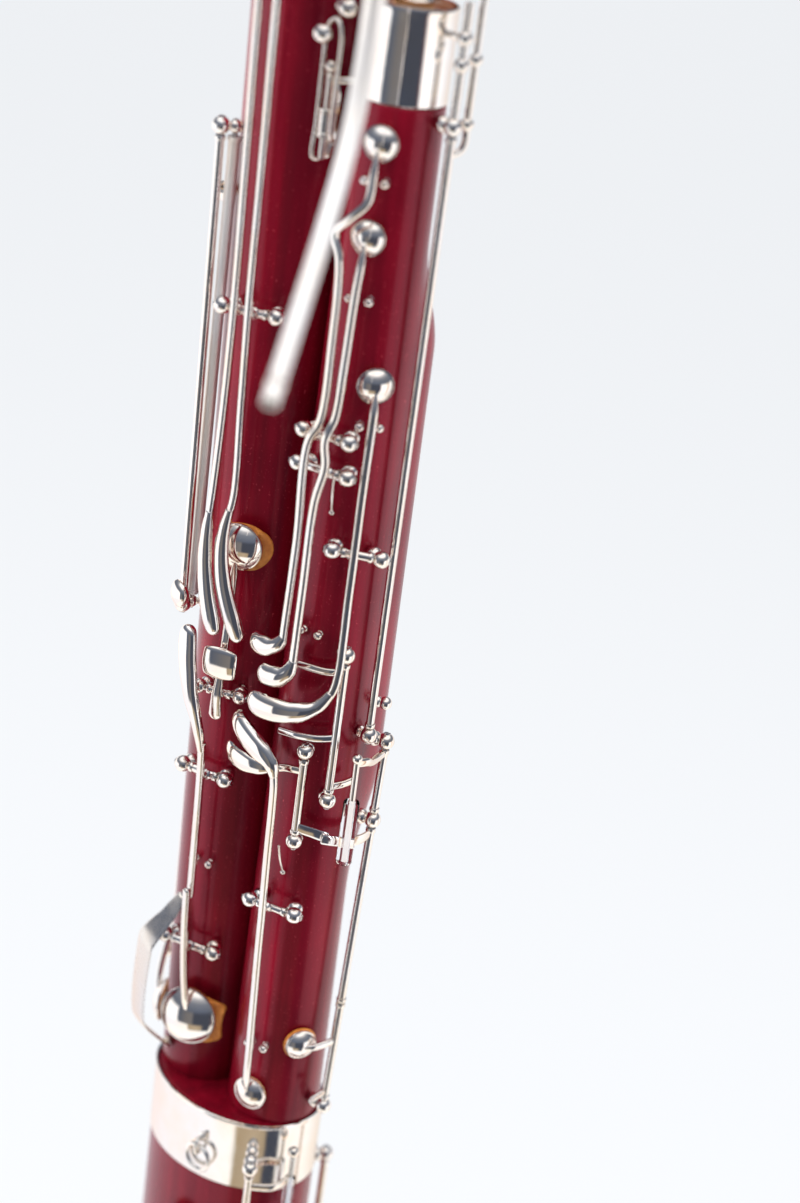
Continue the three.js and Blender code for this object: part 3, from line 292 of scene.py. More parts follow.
# Each material: how it is made, and the slot of the CAD's materials that it stands for.
FINISHES = {
    "wood": (make_wood(), "lacquered_maple"),
    "silver": (
        make_silver("silver_plate", (0.975, 0.945, 0.915), (0.985, 0.885, 0.77), 0.05), "silver_plate",
    ),
    "satin": (make_silver("satin_silver", (0.80, 0.78, 0.76), (0.82, 0.74, 0.66), 0.24), "silver_plate"),
    "crook": (mottled(
        "crook_silver", (40, (1, 1, 0.4), 3.0, 0.6),
        [(0.35, (0.90, 0.885, 0.88)), (0.75, (0.93, 0.84, 0.74))],
        {"Metallic": 0.55, "Roughness": 0.3},
    ), "silver_plate"),
    "steel": (make_silver("steel", (0.62, 0.63, 0.65), (0.74, 0.73, 0.72), 0.22), "steel"),
    "leather": (make_leather("orange_leather", (0.50, 0.15, 0.02), (0.74, 0.29, 0.05)), "silver_plate"),
    "pad": (make_leather("pad_leather", (0.55, 0.27, 0.10), (0.80, 0.50, 0.26)), "silver_plate"),
    "cork": (mottled(
        "cork", (900, EVEN, 5.0, 0.7),
        [(0.32, (0.16, 0.075, 0.03)), (0.45, (0.50, 0.30, 0.14)), (0.7, (0.66, 0.43, 0.23))],
        {"Roughness": 0.85}, (0.6, 0.0004),
    ), "cork"),
    "end_grain": (mottled(
        "wood_end_grain", (500, (1, 1, 0.2), 5.0, 0.65),
        [(0.3, (0.12, 0.035, 0.012)), (0.5, (0.36, 0.13, 0.04)), (0.72, (0.52, 0.22, 0.08))],
        {"Roughness": 0.4, "Coat Weight": 0.5}, (0.4, 0.0003),
    ), "lacquered_maple"),
    "clear": (mottled(
        "clear_sleeve", (400,), [(0.3, (0.955, 0.95, 0.98)), (0.7, (0.985, 0.98, 0.995))],
        {"Roughness": 0.04, "Transmission Weight": 1.0, "IOR": 1.12},
    ), "silver_plate"),
    "bore": (mottled(
        "oiled_bore", (200, (1, 1, 0.1)), [(0.3, (0.010, 0.004, 0.003)), (0.7, (0.030, 0.010, 0.007))],
        {"Roughness": 0.3},
    ), "lacquered_maple"),
}

# ------------------------------------------------------------------ closed shells


def smooth_shade(mesh, sharp):
    """Shades a mesh smooth, but for edges sharper than the given angle."""
    mesh.polygons.foreach_set("use_smooth", [True] * len(mesh.polygons))
    mesh.set_sharp_from_angle(angle=math.radians(sharp))


def add_object(name, data):
    made = bpy.data.objects.new(name, data)
    bpy.context.scene.collection.objects.link(made)
    return made


class Shape:
    """Closed shells in millimetres that become one piece, each shell with a material of its own."""

    def __init__(self):
        self.points = []
        self.faces = []
        self.kinds = []

    def rings(self, rings, material="silver", loop=False):
        """Joins rings of equal count into a tube, capped at both ends, or closed on itself."""
        base = len(self.points)
        count = len(rings[0])
        for ring in rings:
            self.points.extend(ring)
        last = len(rings) if loop else len(rings) - 1
        for i in range(last):
            a = base + i * count
            b = base + ((i + 1) % len(rings)) * count
            for k in range(count):
                n = (k + 1) % count
                self.faces.append((a + k, a + n, b + n, b + k))
                self.kinds.append(material)
        if not loop:
            self.faces.append(tuple(reversed(range(base, base + count))))
            self.faces.append(tuple(base + (len(rings) - 1) * count + k for k in range(count)))
            self.kinds.extend([material, material])

    def piece(self, name, replaced=None, moving=False, sharp=40):
        """Makes the object, on the body of the CAD node it replaces if that moves, or on the fixed one."""
        mesh = bpy.data.meshes.new(name)
        mesh.from_pydata([point * MM for point in self.points], [], self.faces)
        kinds = list(dict.fromkeys(self.kinds))
        for kind in kinds:
            mesh.materials.append(FINISHES[kind][0])
        for polygon, kind in zip(mesh.polygons, self.kinds):
            polygon.material_index = kinds.index(kind)
        shell = bmesh.new()
        shell.from_mesh(mesh)
        bmesh.ops.remove_doubles(shell, verts=shell.verts, dist=2e-7)
        bmesh.ops.recalc_face_normals(shell, faces=shell.faces)
        shell.to_mesh(mesh)
        shell.free()
        smooth_shade(mesh, sharp)
        made = add_object(name, mesh)
        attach(made, replaced if moving else "body")
        if replaced:
            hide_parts(replaced)
        return made


def frame_of(axis):
    """Two directions square to an axis."""
    axis = axis.normalized()
    helper = UP if abs(axis.z) < 0.9 else Vector((1, 0, 0))
    first = helper.cross(axis).normalized()
    return first, axis.cross(first)


def circle(centre, across, up, radius, sides):
    """A ring of points that starts at across and turns towards up."""
    ring = []
    for k in range(sides):
        cos, sin = turning(360 * k / sides)
        ring.append(centre + across * (radius * cos) + up * (radius * sin))
    return ring


def turned(shape, profile, origin, axis, material="silver", sides=28, loop=False):
    """A turned shell: profile pairs are the radius and the distance along the axis."""
    axis = axis.normalized()
    across, up = frame_of(axis)
    rings = [circle(origin + axis * along, across, up, radius, sides) for radius, along in profile]
    shape.rings(rings, material, loop)


def upright(shape, profile, x, material, sides):
    """A hollow turned shell round the upright line at x; profile pairs are the radius and the height."""
    turned(shape, profile, Vector((x, 0, 0)), UP, material, sides, loop=True)


def arc(centre, radius, start, stop, steps):
    """Profile points on an arc, angles in degrees from the radius direction towards the axis direction."""
    points = []
    for i in range(steps + 1):
        cos, sin = turning(start + (stop - start) * i / steps)
        points.append((max(0, centre[0] + radius * cos), centre[1] + radius * sin))
    return points


def ball(shape, centre, radius, axis=UP):
    turned(shape, arc((0, 0), radius, -90, 90, 14), centre, axis, sides=26)


def rod(shape, start, end, radius, material="silver"):
    """A straight round rod with softened ends."""
    length = (end - start).length
    painted_edge_reflection = 0.18
    half = [(0, 0), (radius - painted_edge_reflection, 0), (radius, painted_edge_reflection)]
    profile = half + [(r, length - h) for r, h in reversed(half)]
    turned(shape, profile, start, end - start, material, 20)


# ------------------------------------------------------------------ sweeps


def between(first, second, t, low, high):
    """The point at t on the straight run from first, which is at low, to second, which is at high."""
    share = (t - low) / (high - low)
    return first * (1 - share) + second * share


def smooth_path(points, step=1.2):
    """A centripetal Catmull-Rom line through the points, with the place of each sample between them."""
    if len(points) == 2:
        count = max(2, int((points[1] - points[0]).length / step))
        shares = [i / count for i in range(count + 1)]
        return [points[0].lerp(points[1], share) for share in shares], shares
    ends = [points[0] * 2 - points[1], *points, points[-1] * 2 - points[-2]]
    line, places = [], []
    for i in range(1, len(ends) - 2):
        p0, p1, p2, p3 = ends[i - 1 : i + 3]
        t1 = max(1e-4, (p1 - p0).length ** 0.5)
        t2 = t1 + max(1e-4, (p2 - p1).length ** 0.5)
        t3 = t2 + max(1e-4, (p3 - p2).length ** 0.5)
        count = max(3, int((p2 - p1).length / step))
        for k in range(count):
            t = t1 + (t2 - t1) * k / count
            a2 = between(p1, p2, t, t1, t2)
            b1 = between(between(p0, p1, t, 0, t1), a2, t, 0, t2)
            b2 = between(a2, between(p2, p3, t, t2, t3), t, t1, t3)
            line.append(between(b1, b2, t, t1, t2))
            places.append(i - 1 + k / count)
    line.append(points[-1].copy())
    places.append(float(len(points) - 1))
    return line, places


def eased(values, place_along):
    """A value between the listed ones, eased so that widths flow."""
    index = min(int(place_along), len(values) - 2)
    t = smoothstep(place_along - index, 0, 1)
    return values[index] + (values[index + 1] - values[index]) * t


SECTION_ANGLES = (90, 76, 60, 44, 24, 0, -24, -46, -68, -90)
END_STEPS = 7
END_FULLNESS = 0.7
LOOK_AHEAD = 0.4


def section_points(roundness):
    """The outline across a lever: flat-topped with rounded corners at 0, an ellipse at 1."""
    power = 0.55 + 0.45 * roundness
    half = []
    for degrees in SECTION_ANGLES:
        across, up = turning(degrees)
        half.append((0.5 * abs(across) ** power, math.copysign(0.5 * abs(up) ** power, up)))
    return half + [(-x, y) for x, y in reversed(half[1:-1])]


def end_rounding(distance, reach):
    """How much of the full width is left at a distance from an end that is rounded over reach."""
    if distance >= reach:
        return 1.0
    return math.sqrt(max(0, 1 - (1 - distance / reach) ** 2))


def blade(shape, points, widths, thicknesses, up_at, roundness, ends=(0.6, 0.6),
          material="silver", step=1.2):
    """A forged shape along a smooth line: flat-topped like a lever, or domed like a touch piece."""
    line, places = smooth_path(points, step)
    lengths = [0.0]
    for before, after in zip(line, line[1:]):
        lengths.append(lengths[-1] + (after - before).length)
    total = lengths[-1]

    def at(distance):
        for i in range(len(lengths) - 1):
            if distance <= lengths[i + 1]:
                t = (distance - lengths[i]) / max(1e-6, lengths[i + 1] - lengths[i])
                return line[i].lerp(line[i + 1], t), places[i] + (places[i + 1] - places[i]) * t
        return line[-1], places[-1]

    # Rings are closer together towards each end, so that its rounding is smooth.
    curve = [1 - turning(90 * i / END_STEPS)[0] for i in range(END_STEPS + 1)]
    near = [ends[0] * share for share in curve]
    far = [total - ends[1] * share for share in reversed(curve)]
    samples = [(d, *at(d)) for d in near + far]
    samples += [row for row in zip(lengths, line, places) if ends[0] < row[0] < total - ends[1]]
    samples.sort(key=lambda row: row[0])
    rings = []
    for distance, centre, place_along in samples:
        ahead = at(min(total, distance + LOOK_AHEAD))[0]
        behind = at(max(0, distance - LOOK_AHEAD))[0]
        along = (ahead - behind).normalized()
        side = along.cross(up_at(centre)).normalized()
        up = side.cross(along)
        shrink = min(end_rounding(distance, ends[0]), end_rounding(total - distance, ends[1]))
        width = eased(widths, place_along) * shrink
        thickness = eased(thicknesses, place_along) * shrink ** END_FULLNESS
        outline = section_points(eased(roundness, place_along))
        rings.append([centre + side * (x * width) + up * (y * thickness) for x, y in outline])
    shape.rings(rings, material)


def per_point(value, count):
    """A value for every point, from one number or from a list that has them all."""
    return value if isinstance(value, list) else [value] * count


LEVER_WIDTH = 3.1
LEVER_THICKNESS = 2.7
LEVER_ROLL = -13
LEVER_TIP = (0.7, 1.0)


def lever(shape, joint, rows, widths=LEVER_WIDTH, thickness=LEVER_THICKNESS, roundness=0.5, ends=(0.6, 0.6),
          tip=False, material="silver", roll=0):
    """A lever over a joint; tip narrows its first end, and roll leans it about the joint."""
    points = sites(joint, rows)
    widths, thicknesses, roundness = (per_point(v, len(points)) for v in (widths, thickness, roundness))
    if tip:
        widths = [LEVER_TIP[0], *widths[1:]]
        thicknesses = [LEVER_TIP[1], *thicknesses[1:]]
    turn = Quaternion(UP, math.radians(roll))

    def leaning_up(at):
        return turn @ outward(joint, at)

    blade(shape, points, widths, thicknesses, leaning_up, roundness, ends, material)


def plate_arm(shape, joint, rows, width, thickness):
    lever(shape, joint, rows, width, thickness, 0.35, (0.7, 0.7))


def touch_piece(shape, joint, rows, widths, thickness, ends=None):
    """A domed touch for a finger or thumb."""
    thicknesses = [min(w * 0.95, thickness * min(1.0, 0.5 + w / 14)) for w in widths]
    lever(shape, joint, rows, widths, thicknesses, 1, ends or (0.8, widths[-1] * 0.5))


def wire(shape, points, radius, step=1.2):
    """A round wire along a smooth line."""
    up = frame_of(points[-1] - points[0])[0]
    sizes = [2 * radius] * len(points)
    blade(shape, points, sizes, sizes, lambda at: up, [1] * len(points), (0.3, 0.3), step=step)


# ------------------------------------------------------------------ posts, axles, cups

BALL = 3.3
SMALL_BALL = 2.5
AXLE_RADIUS = 1.05
AXLE_GAP = 0.25
PAD_REST = 0.5


class Axle:
    """The line a key turns on, from one post's ball to the other's."""

    def __init__(self, start, end):
        self.start = start
        self.end = end
        self.direction = (end - start).normalized()
        self.length = (end - start).length

    def at(self, distance):
        return self.start + self.direction * distance

    def nearest(self, point):
        return self.at((point - self.start).dot(self.direction))


def axle_between(joint, first, second):
    return Axle(site(joint, *first), site(joint, *second))


def cross_axle(joint, z, left, right, lift):
    return axle_between(joint, (z, left, lift), (z, right, lift))


def upright_axle(x, y, high, low):
    return Axle(Vector((x, y, high)), Vector((x, y, low)))


def slotted_screw(shape, at, axis, radius):
    """The end of an axle screw, with its slot."""
    first, second = frame_of(axis)
    slot = radius * 0.22
    turned(shape, [(0, -0.6), (radius, -0.6), (radius, 0.0), (0, 0.0)], at, axis, "steel", 16)
    for sign in (-1, 1):
        low, high = [], []
        for k in range(9):
            cos, sin = turning(180 * k / 8)
            offset = first * (radius * cos) + second * (sign * max(slot, radius * sin))
            low.append(at + offset - axis * 0.1)
            high.append(at + offset * 0.93 + axis * 0.28)
        shape.rings([low, high], "steel")


def post_head(shape, centre, axle, radius, end_sign):
    """The ball that carries an axle, with the screw's slotted end in it."""
    ball(shape, centre, radius, axle.direction)
    out = axle.direction * end_sign
    slotted_screw(shape, centre + out * (radius * 0.93), out, radius * 0.42)


def post(shape, joint, centre, axle, radius=BALL, end_sign=1):
    """A turned post screwed into the wood: a foot ring, a small ball, a neck and the axle's ball."""
    out = outward(joint, centre)
    height = lift_of(joint, centre)
    root = centre - out * (height - 0.45 - (0 if joint else BAND_PROUD))
    neck = height - radius * 0.8
    bulge = min(3.1, radius * 0.94)
    bulge_at = min(2.0, height * 0.35)
    profile = [(0, 0), (1.9, 0), (2.2, 0.15), (2.2, 0.5), (1.3, 0.75)]
    if height > 5.2:
        profile += arc((0, bulge_at + 0.4), bulge, -50, 50, 10)
    profile += [(1.15, bulge_at + 2.5), (1.15, neck), (0, neck)]
    turned(shape, profile, root, out, sides=22)
    post_head(shape, centre, axle, radius, end_sign)


def posts(name, joint, axle, extra=(), radius=BALL):
    """The posts at an axle's ends, any between them, and the rod they hold."""
    shape = Shape()
    post(shape, joint, axle.start, axle, radius, -1)
    post(shape, joint, axle.end, axle, radius, 1)
    for centre in extra:
        post(shape, joint, centre, axle, radius, 1)
    rod(shape, axle.start, axle.end, AXLE_RADIUS, "steel")
    shape.piece(f"{name}_turned", name)


def sleeve(shape, axle, start=None, end=None, radius=1.65, material="silver"):
    """The key tube on its axle, with a thin collar at each end."""
    start = BALL + AXLE_GAP if start is None else start
    end = axle.length - BALL - AXLE_GAP if end is None else end
    bore = 1.25
    inner, outer = radius + 0.3, radius + 0.38
    collar = min(1.6, (end - start) * 0.2)
    half = [
        (bore, 0), (inner, 0), (outer, 0.1), (outer, collar - 0.1), (inner, collar), (radius, collar + 0.05),
    ]
    profile = [(r, start + h) for r, h in half] + [(r, end - h) for r, h in reversed(half)]
    turned(shape, profile, axle.start, axle.direction, material, 22, loop=True)


def saddle(shape, axle, under):
    """The block that carries a lever on its tube."""
    foot = axle.nearest(under)
    height = (under - foot).length
    profile = [(0, 0), (2.3, 0), (2.25, 1.2), (1.55, 1.9), (1.35, height), (0, height)]
    turned(shape, profile, foot, under - foot, sides=20)


def notched_flap(degrees):
    """A leather pad that runs out past its cup in two points with a notch between them."""
    away = abs(degrees)
    if away < 27:
        return 2.4 + 2.6 * (away / 27) ** 2
    return 0.3 + 4.7 * max(0, 1 - (away - 27) / 34) ** 1.3


def rounded_flap(degrees):
    """A leather pad that is a little wider than its cup, more so on one side."""
    return 0.4 + 3.2 * max(0, turning(degrees)[0]) ** 1.5


def leather_pad(shape, centre, out, radius, flap, low, high):
    """A flap of leather; flap says how far it runs out past the radius in each direction."""
    side = UP.cross(out)
    outline = ((radius, low), (0.5, low), (0.1, low + 0.25), (0.1, high - 0.25), (0.5, high), (radius, high))
    rings = []
    for inset, height in outline:
        ring = []
        for degrees in range(-180, 180, 5):
            cos, sin = turning(degrees)
            reach = max(0.01, radius + flap(degrees) - inset) if inset < radius else radius * 0.3
            droop = 0.55 * max(0, reach * cos - radius * 0.85)
            ring.append(centre + side * (reach * cos) + UP * (reach * sin) + out * (height - droop))
        rings.append(ring)
    shape.rings(rings, "leather")


def cup(shape, joint, row, radius, axle=None, open_degrees=0, flap=None):
    """A domed silver cup over its pad, made shut and then swung open about its axle."""
    centre = site(joint, *row, 0)
    out = outward(joint, centre)
    first = len(shape.points)
    pad = radius * 0.95
    if flap:
        leather_pad(shape, centre, out, pad, flap, PAD_REST, PAD_REST + 1.2)
    else:
        pad_profile = [
            (0, 0.15), (pad * 0.45, 0.12), (pad * 0.5, 0.3), (pad * 0.56, 0.05), (pad * 0.9, 0),
            (pad, 0.35), (pad, 1.0), (pad - 0.4, 1.35), (0, 1.4),
        ]
        turned(shape, [(r, PAD_REST + h) for r, h in pad_profile], centre, out, "pad", 40)
    low = PAD_REST + 1.05
    brim = radius - 0.7
    rise = 0.9 + radius * 0.3
    ball_radius = (brim ** 2 + rise ** 2) / (2 * rise)
    steepest = math.degrees(math.asin(brim / ball_radius))
    dome_centre = (0, low + 1.12 + rise - ball_radius)
    profile = [(0, low), (radius * 0.9, low), (radius - 0.15, low), (radius, low + 0.15)]
    profile += [(radius, low + 0.85), (radius - 0.12, low + 1.05), (radius - 0.55, low + 1.12)]
    profile += arc(dome_centre, ball_radius, 90 - steepest, 90, 12)
    turned(shape, profile, centre, out, sides=44)
    if axle:
        turn = Quaternion(axle.direction, math.radians(open_degrees))
        shape.points[first:] = [axle.start + turn @ (point - axle.start) for point in shape.points[first:]]


def pad_key(joint, axle, rows, under, cup_at, radius, open_degrees=0, flap=None, roll=0):
    """A key whose lever crosses its axle and ends in a cup."""
    shape = Shape()
    sleeve(shape, axle)
    lever(shape, joint, rows, tip=True, ends=(0.4, 1.2), roll=roll)
    saddle(shape, axle, site(joint, *under))
    cup(shape, joint, cup_at, radius, axle, open_degrees, flap)
    return shape


# ------------------------------------------------------------------ wooden joints and their bands

TENON_LENGTH = 35
TENON_RADIUS = 14.5
SOCKET_RADIUS = 16.8
FERRULE_LOW = WING_TOP - 33
FERRULE_RADIUS = 15.9
FOOT_EDGE = [(0.8, BOOT_TOP + 0.3), (0.2, BOOT_TOP + 0.6)]
STAPLE_Z = 424
STAPLE_DEGREES = 11
LOCK_X = 2.2
LOCK_Y = -16.4
LOCK_PIN_Y = LOCK_Y - 2.6


def oval_rings(profile, sides=144):
    """Rings of an oval: each entry is how far the surface stands off the boot's wood, and its height."""
    turns = [360 * k / sides for k in range(sides)]
    return [[site(BOOT, z, degrees, offset) for degrees in turns] for offset, z in profile]


def joint_rings(joint, profile, sides=112):
    """Rings of a round joint: each entry is how far the surface lies under the wood's, and its height."""
    rings = []
    for inset, z in profile:
        ring = []
        for k in range(sides):
            degrees = 360 * k / sides
            ring.append(site(joint, z, degrees, joint.swell(z, degrees) - inset))
        rings.append(ring)
    return rings


def even_steps(step, stop):
    """Entries for joint_rings, flush with the wood, from the boot up to a height."""
    count = math.ceil((stop - BOOT_TOP) / step)
    return [(0, BOOT_TOP + step * i) for i in range(1, count)]


def drill(target, cuts):
    """Cuts round holes: each cut is a start, an end and a radius."""
    drills = Shape()
    for start, end, radius in cuts:
        depth = (end - start).length
        turned(drills, [(0, 0), (radius, 0), (radius, depth), (0, depth)], start, end - start, "bore", 32)
    cutter = drills.piece("drill")
    change = target.modifiers.new("holes", "BOOLEAN")
    change.object = cutter
    change.operation = "DIFFERENCE"
    change.solver = "EXACT"
    change.use_self = True
    bpy.context.view_layer.update()
    depsgraph = bpy.context.evaluated_depsgraph_get()
    mesh = bpy.data.meshes.new_from_object(target.evaluated_get(depsgraph), depsgraph=depsgraph)
    target.modifiers.clear()
    target.data = mesh
    bpy.data.objects.remove(cutter)
    smooth_shade(mesh, 30)


def hole(joint, z, degrees, radius, depth=12):
    """A cut straight into the wood, from just outside it."""
    swell = joint.swell(z, degrees) if joint else 0
    start = site(joint, z, degrees, swell + 2)
    return start, start - outward(joint, start) * depth, radius


def tenon(shape, x, bore):
    """The end of a joint that goes into the boot."""
    low, high = BOOT_TOP - TENON_LENGTH, BOOT_TOP + 0.5
    outer = TENON_RADIUS
    profile = [(bore, low), (outer - 0.5, low), (outer, low + 1), (outer, high), (bore, high)]
    upright(shape, profile, x, "wood", 48)


def make_boot():
    shape = Shape()
    profile = [(-1.0, BOOT_LOW.z), (-1.0, CAP_TOP + 0.2), (0, CAP_TOP + 0.35), (0, 150), (0, 250), (0, 340)]
    profile += [(0, BAND_LOW - 0.4), (-0.7, BAND_LOW - 0.2)]
    profile += [(-0.7, BOOT_TOP - 1.2), (-1.2, BOOT_TOP - 0.2), (-1.8, BOOT_TOP)]
    shape.rings(oval_rings(profile, 128), "wood")
    boot = shape.piece("boot_wood", "boot_joint", sharp=30)
    cuts = []
    for x in (WING_X, LONG_X):
        socket_end = Vector((x, 0, BOOT_TOP - TENON_LENGTH - 1))
        cuts.append((Vector((x, 0, BOOT_TOP + 5)), socket_end, SOCKET_RADIUS))
    holes = ((372, 2, 7.5), (282, 10, 5), (345, 178, 5.5), (205, 178, 8), (300, 150, 4), (262, 196, 4))
    drill(boot, cuts + [hole(BOOT, *row, depth=11) for row in holes])


def make_boot_band():
    shape = Shape()
    outer = BAND_PROUD
    profile = [(-0.35, BAND_LOW), (outer - 0.1, BAND_LOW), (outer, BAND_LOW + 0.15), (outer, BAND_LOW + 0.8)]
    profile += [(outer, BAND_LOW + 12), (outer, BOOT_TOP - 1.6), (outer + 0.18, BOOT_TOP - 1.3)]
    profile += [(outer + 0.25, BOOT_TOP - 0.8), (outer + 0.05, BOOT_TOP - 0.25)]
    profile += [(outer - 0.5, BOOT_TOP), (-0.35, BOOT_TOP - 0.1)]
    shape.rings(oval_rings(profile), loop=True)
    staple(shape)
    shape.piece("boot_band", "boot_top_band", sharp=30)


def staple(shape):
    """The staple on the boot band that the strap ring hangs in."""
    reach = 3.4
    half = [(reach * 0.7, 4.9), (reach, 3.6), (reach, 0.3)]
    arch = [(-step, lift) for step, lift in reversed(half)] + [(0, 5.2)] + half
    wire(shape, [site(BOOT, STAPLE_Z + step, STAPLE_DEGREES, lift) for step, lift in arch], 0.85, step=0.4)
    foot = [(0, 0), (1.9, 0), (1.8, 0.4), (1.2, 0.75), (0, 0.8)]
    for step in (-reach, reach):
        root = site(BOOT, STAPLE_Z + step, STAPLE_DEGREES, BAND_PROUD - 0.1)
        turned(shape, foot, root, outward(BOOT, root), sides=20)


def make_boot_cap():
    shape = Shape()
    low, high = CAP_LOW, CAP_TOP
    profile = [(-1.6, low), (-0.9, low + 0.05), (0.1, low + 0.5), (0.7, low + 1.5), (0.8, low + 2.6)]
    profile += [(0.8, low + 6), (0.62, low + 6.4), (0.62, low + 7.2), (0.8, low + 7.6)]
    profile += [(0.8, high - 3.4), (0.62, high - 3.1), (0.62, high - 2.4), (0.8, high - 2.1)]
    profile += [(0.8, high - 0.4), (0.55, high), (-0.2, high)]
    profile += [(-0.7, high - 0.3), (-0.7, low + 3.2), (-12, low + 3)]
    shape.rings(oval_rings(profile))
    shape.piece("boot_cap", "boot_bottom_cap", sharp=30)


def make_wing():
    shape = Shape()
    head = [(0.05, FERRULE_LOW - 0.9), (0.5, FERRULE_LOW - 0.35)]
    shape.rings(joint_rings(WING, FOOT_EDGE + even_steps(3, FERRULE_LOW - 1.2) + head), "wood")
    wing = shape.piece("wing_wood", "wing_joint", sharp=30)
    cuts = []
    for z in (620, 672, 724):
        mouth = site(WING, z, 160, 12)
        cuts.append((mouth, mouth.lerp(Vector((WING_X, 0, z + 26)), 0.7), 3.0))
    holes = ((849, 21, 3), (816, 20, 3), (763, 49, 3), (454, 10, 3.4), (481, 61, 3))
    drill(wing, cuts + [hole(WING, *row) for row in holes])
    neck = Shape()
    upright(neck, [
        (5.2, FERRULE_LOW + 0.5), (14.9, FERRULE_LOW + 0.5), (14.9, WING_TOP - 3.4), (14.2, WING_TOP - 2.8),
        (8.2, WING_TOP - 3.4), (7.0, WING_TOP - 5.2), (7.0, WING_TOP - 30), (5.2, WING_TOP - 30),
    ], WING_X, "end_grain", 64)
    neck.piece("wing_socket_wood")
    foot = Shape()
    tenon(foot, WING_X, 5.5)
    foot.piece("wing_tenon_wood")


def make_ferrule():
    shape = Shape()
    outer = FERRULE_RADIUS
    profile = [(15.25, FERRULE_LOW), (outer - 0.15, FERRULE_LOW), (outer, FERRULE_LOW + 0.2)]
    profile += [(outer, FERRULE_LOW + 1.1), (outer, FERRULE_LOW + 12), (outer, WING_TOP - 2.2)]
    profile += [(outer + 0.12, WING_TOP - 1.8), (outer + 0.12, WING_TOP - 0.7)]
    profile += [(outer - 0.15, WING_TOP - 0.1), (outer - 0.6, WING_TOP), (15.1, WING_TOP - 0.3)]
    upright(shape, profile, WING_X, "silver", 96)
    lock_guide(shape)
    shape.piece("wing_ferrule_band", "wing_ferrule", sharp=30)


def lock_guide(shape):
    """The body lock's plate, barrel and wire hoop, with the web that joins them to the ferrule."""
    plate = [Vector((LOCK_X, LOCK_Y, z)) for z in (838.2, 846, 853, 860, 867.8)]
    rounded = [1, 0.6, 0.5, 0.6, 1]
    blade(shape, plate, [3.4, 6.6, 6.9, 6.6, 3.4], [1.9] * 5, lambda at: THUMB_SIDE, rounded, (1.5, 1.5))
    beads = [(1.35, 0), (2.35, 0), (2.6, 0.3), (2.6, 1.3), (2.35, 1.6)]
    barrel = beads + [(r, 10 - h) for r, h in reversed(beads)]
    turned(shape, barrel, Vector((LOCK_X, LOCK_PIN_Y, 846)), UP, loop=True)
    web = [Vector((LOCK_X, LOCK_Y, 865.2)), Vector((5.4, -14, 865.8)), Vector((8.6, -11.4, 866))]
    wire(shape, web, 1.45)
    left = [(-3.5, 838), (-3.5, 850), (-3.5, 870), (-3.4, 880), (-2.2, 885)]
    right = [(2.2, 885), (3.4, 880), (3.5, 870), (3.5, 846)]
    hoop = [Vector((LOCK_X + across, LOCK_Y - 3.0, z)) for across, z in left + [(0, 886.5)] + right]
    wire(shape, [hoop[0] + Vector((1.2, 2.6, -0.8)), *hoop, hoop[-1] + Vector((-1.0, 2.6, -1.2))], 0.8)
    screw = [(0, 0), (1.3, 0), (1.25, 0.35), (0.9, 0.55), (0, 0.6)]
    for z in (841, 865):
        turned(shape, screw, Vector((LOCK_X, LOCK_Y - 0.8, z)), THUMB_SIDE, sides=18)


def make_lock_pin():
    shape = Shape()
    rod(shape, Vector((LOCK_X, LOCK_PIN_Y, 838.2)), Vector((LOCK_X, LOCK_PIN_Y, 869)), AXLE_RADIUS)
    button = [(0, 0), (1.6, 0), (1.9, 0.5), (1.2, 1.0), (1.1, 1.4)] + arc((0, 3.2), 2.15, -62, 90, 12)
    turned(shape, button, Vector((LOCK_X, LOCK_PIN_Y, 867.2)), UP, sides=26)
    shape.piece("body_lock_plunger", "body_lock_pin", moving=True, sharp=30)


def make_long_joint():
    shape = Shape()
    profile = FOOT_EDGE + [(0, BOOT_TOP + 3)] + even_steps(9, LONG_TOP - 2)
    profile += [(0.1, LONG_TOP - 0.9), (0.7, LONG_TOP - 0.3)]
    shape.rings(joint_rings(LONG, profile), "wood")
    joint = shape.piece("long_joint_wood", "long_joint", sharp=30)
    holes = ((688, 22, 6), (475.5, 19, 8), (462, -66, 5.5), (815, -74, 5), (952, 30, 7.5))
    drill(joint, [hole(LONG, *row) for row in holes])
    tenons = Shape()
    tenon(tenons, LONG_X, 8)
    upright(tenons, [
        (15.5, LONG_TOP - 0.5), (20.5, LONG_TOP - 0.5), (20.5, LONG_TOP + 4.5), (22.6, LONG_TOP + 5),
        (22.6, LONG_TOP + 24), (20.5, LONG_TOP + 24.5), (20.5, LONG_TOP + 29), (20, LONG_TOP + 30),
        (15.5, LONG_TOP + 30),
    ], BELL_X, "wood", 64)
    tenons.piece("long_joint_tenons")


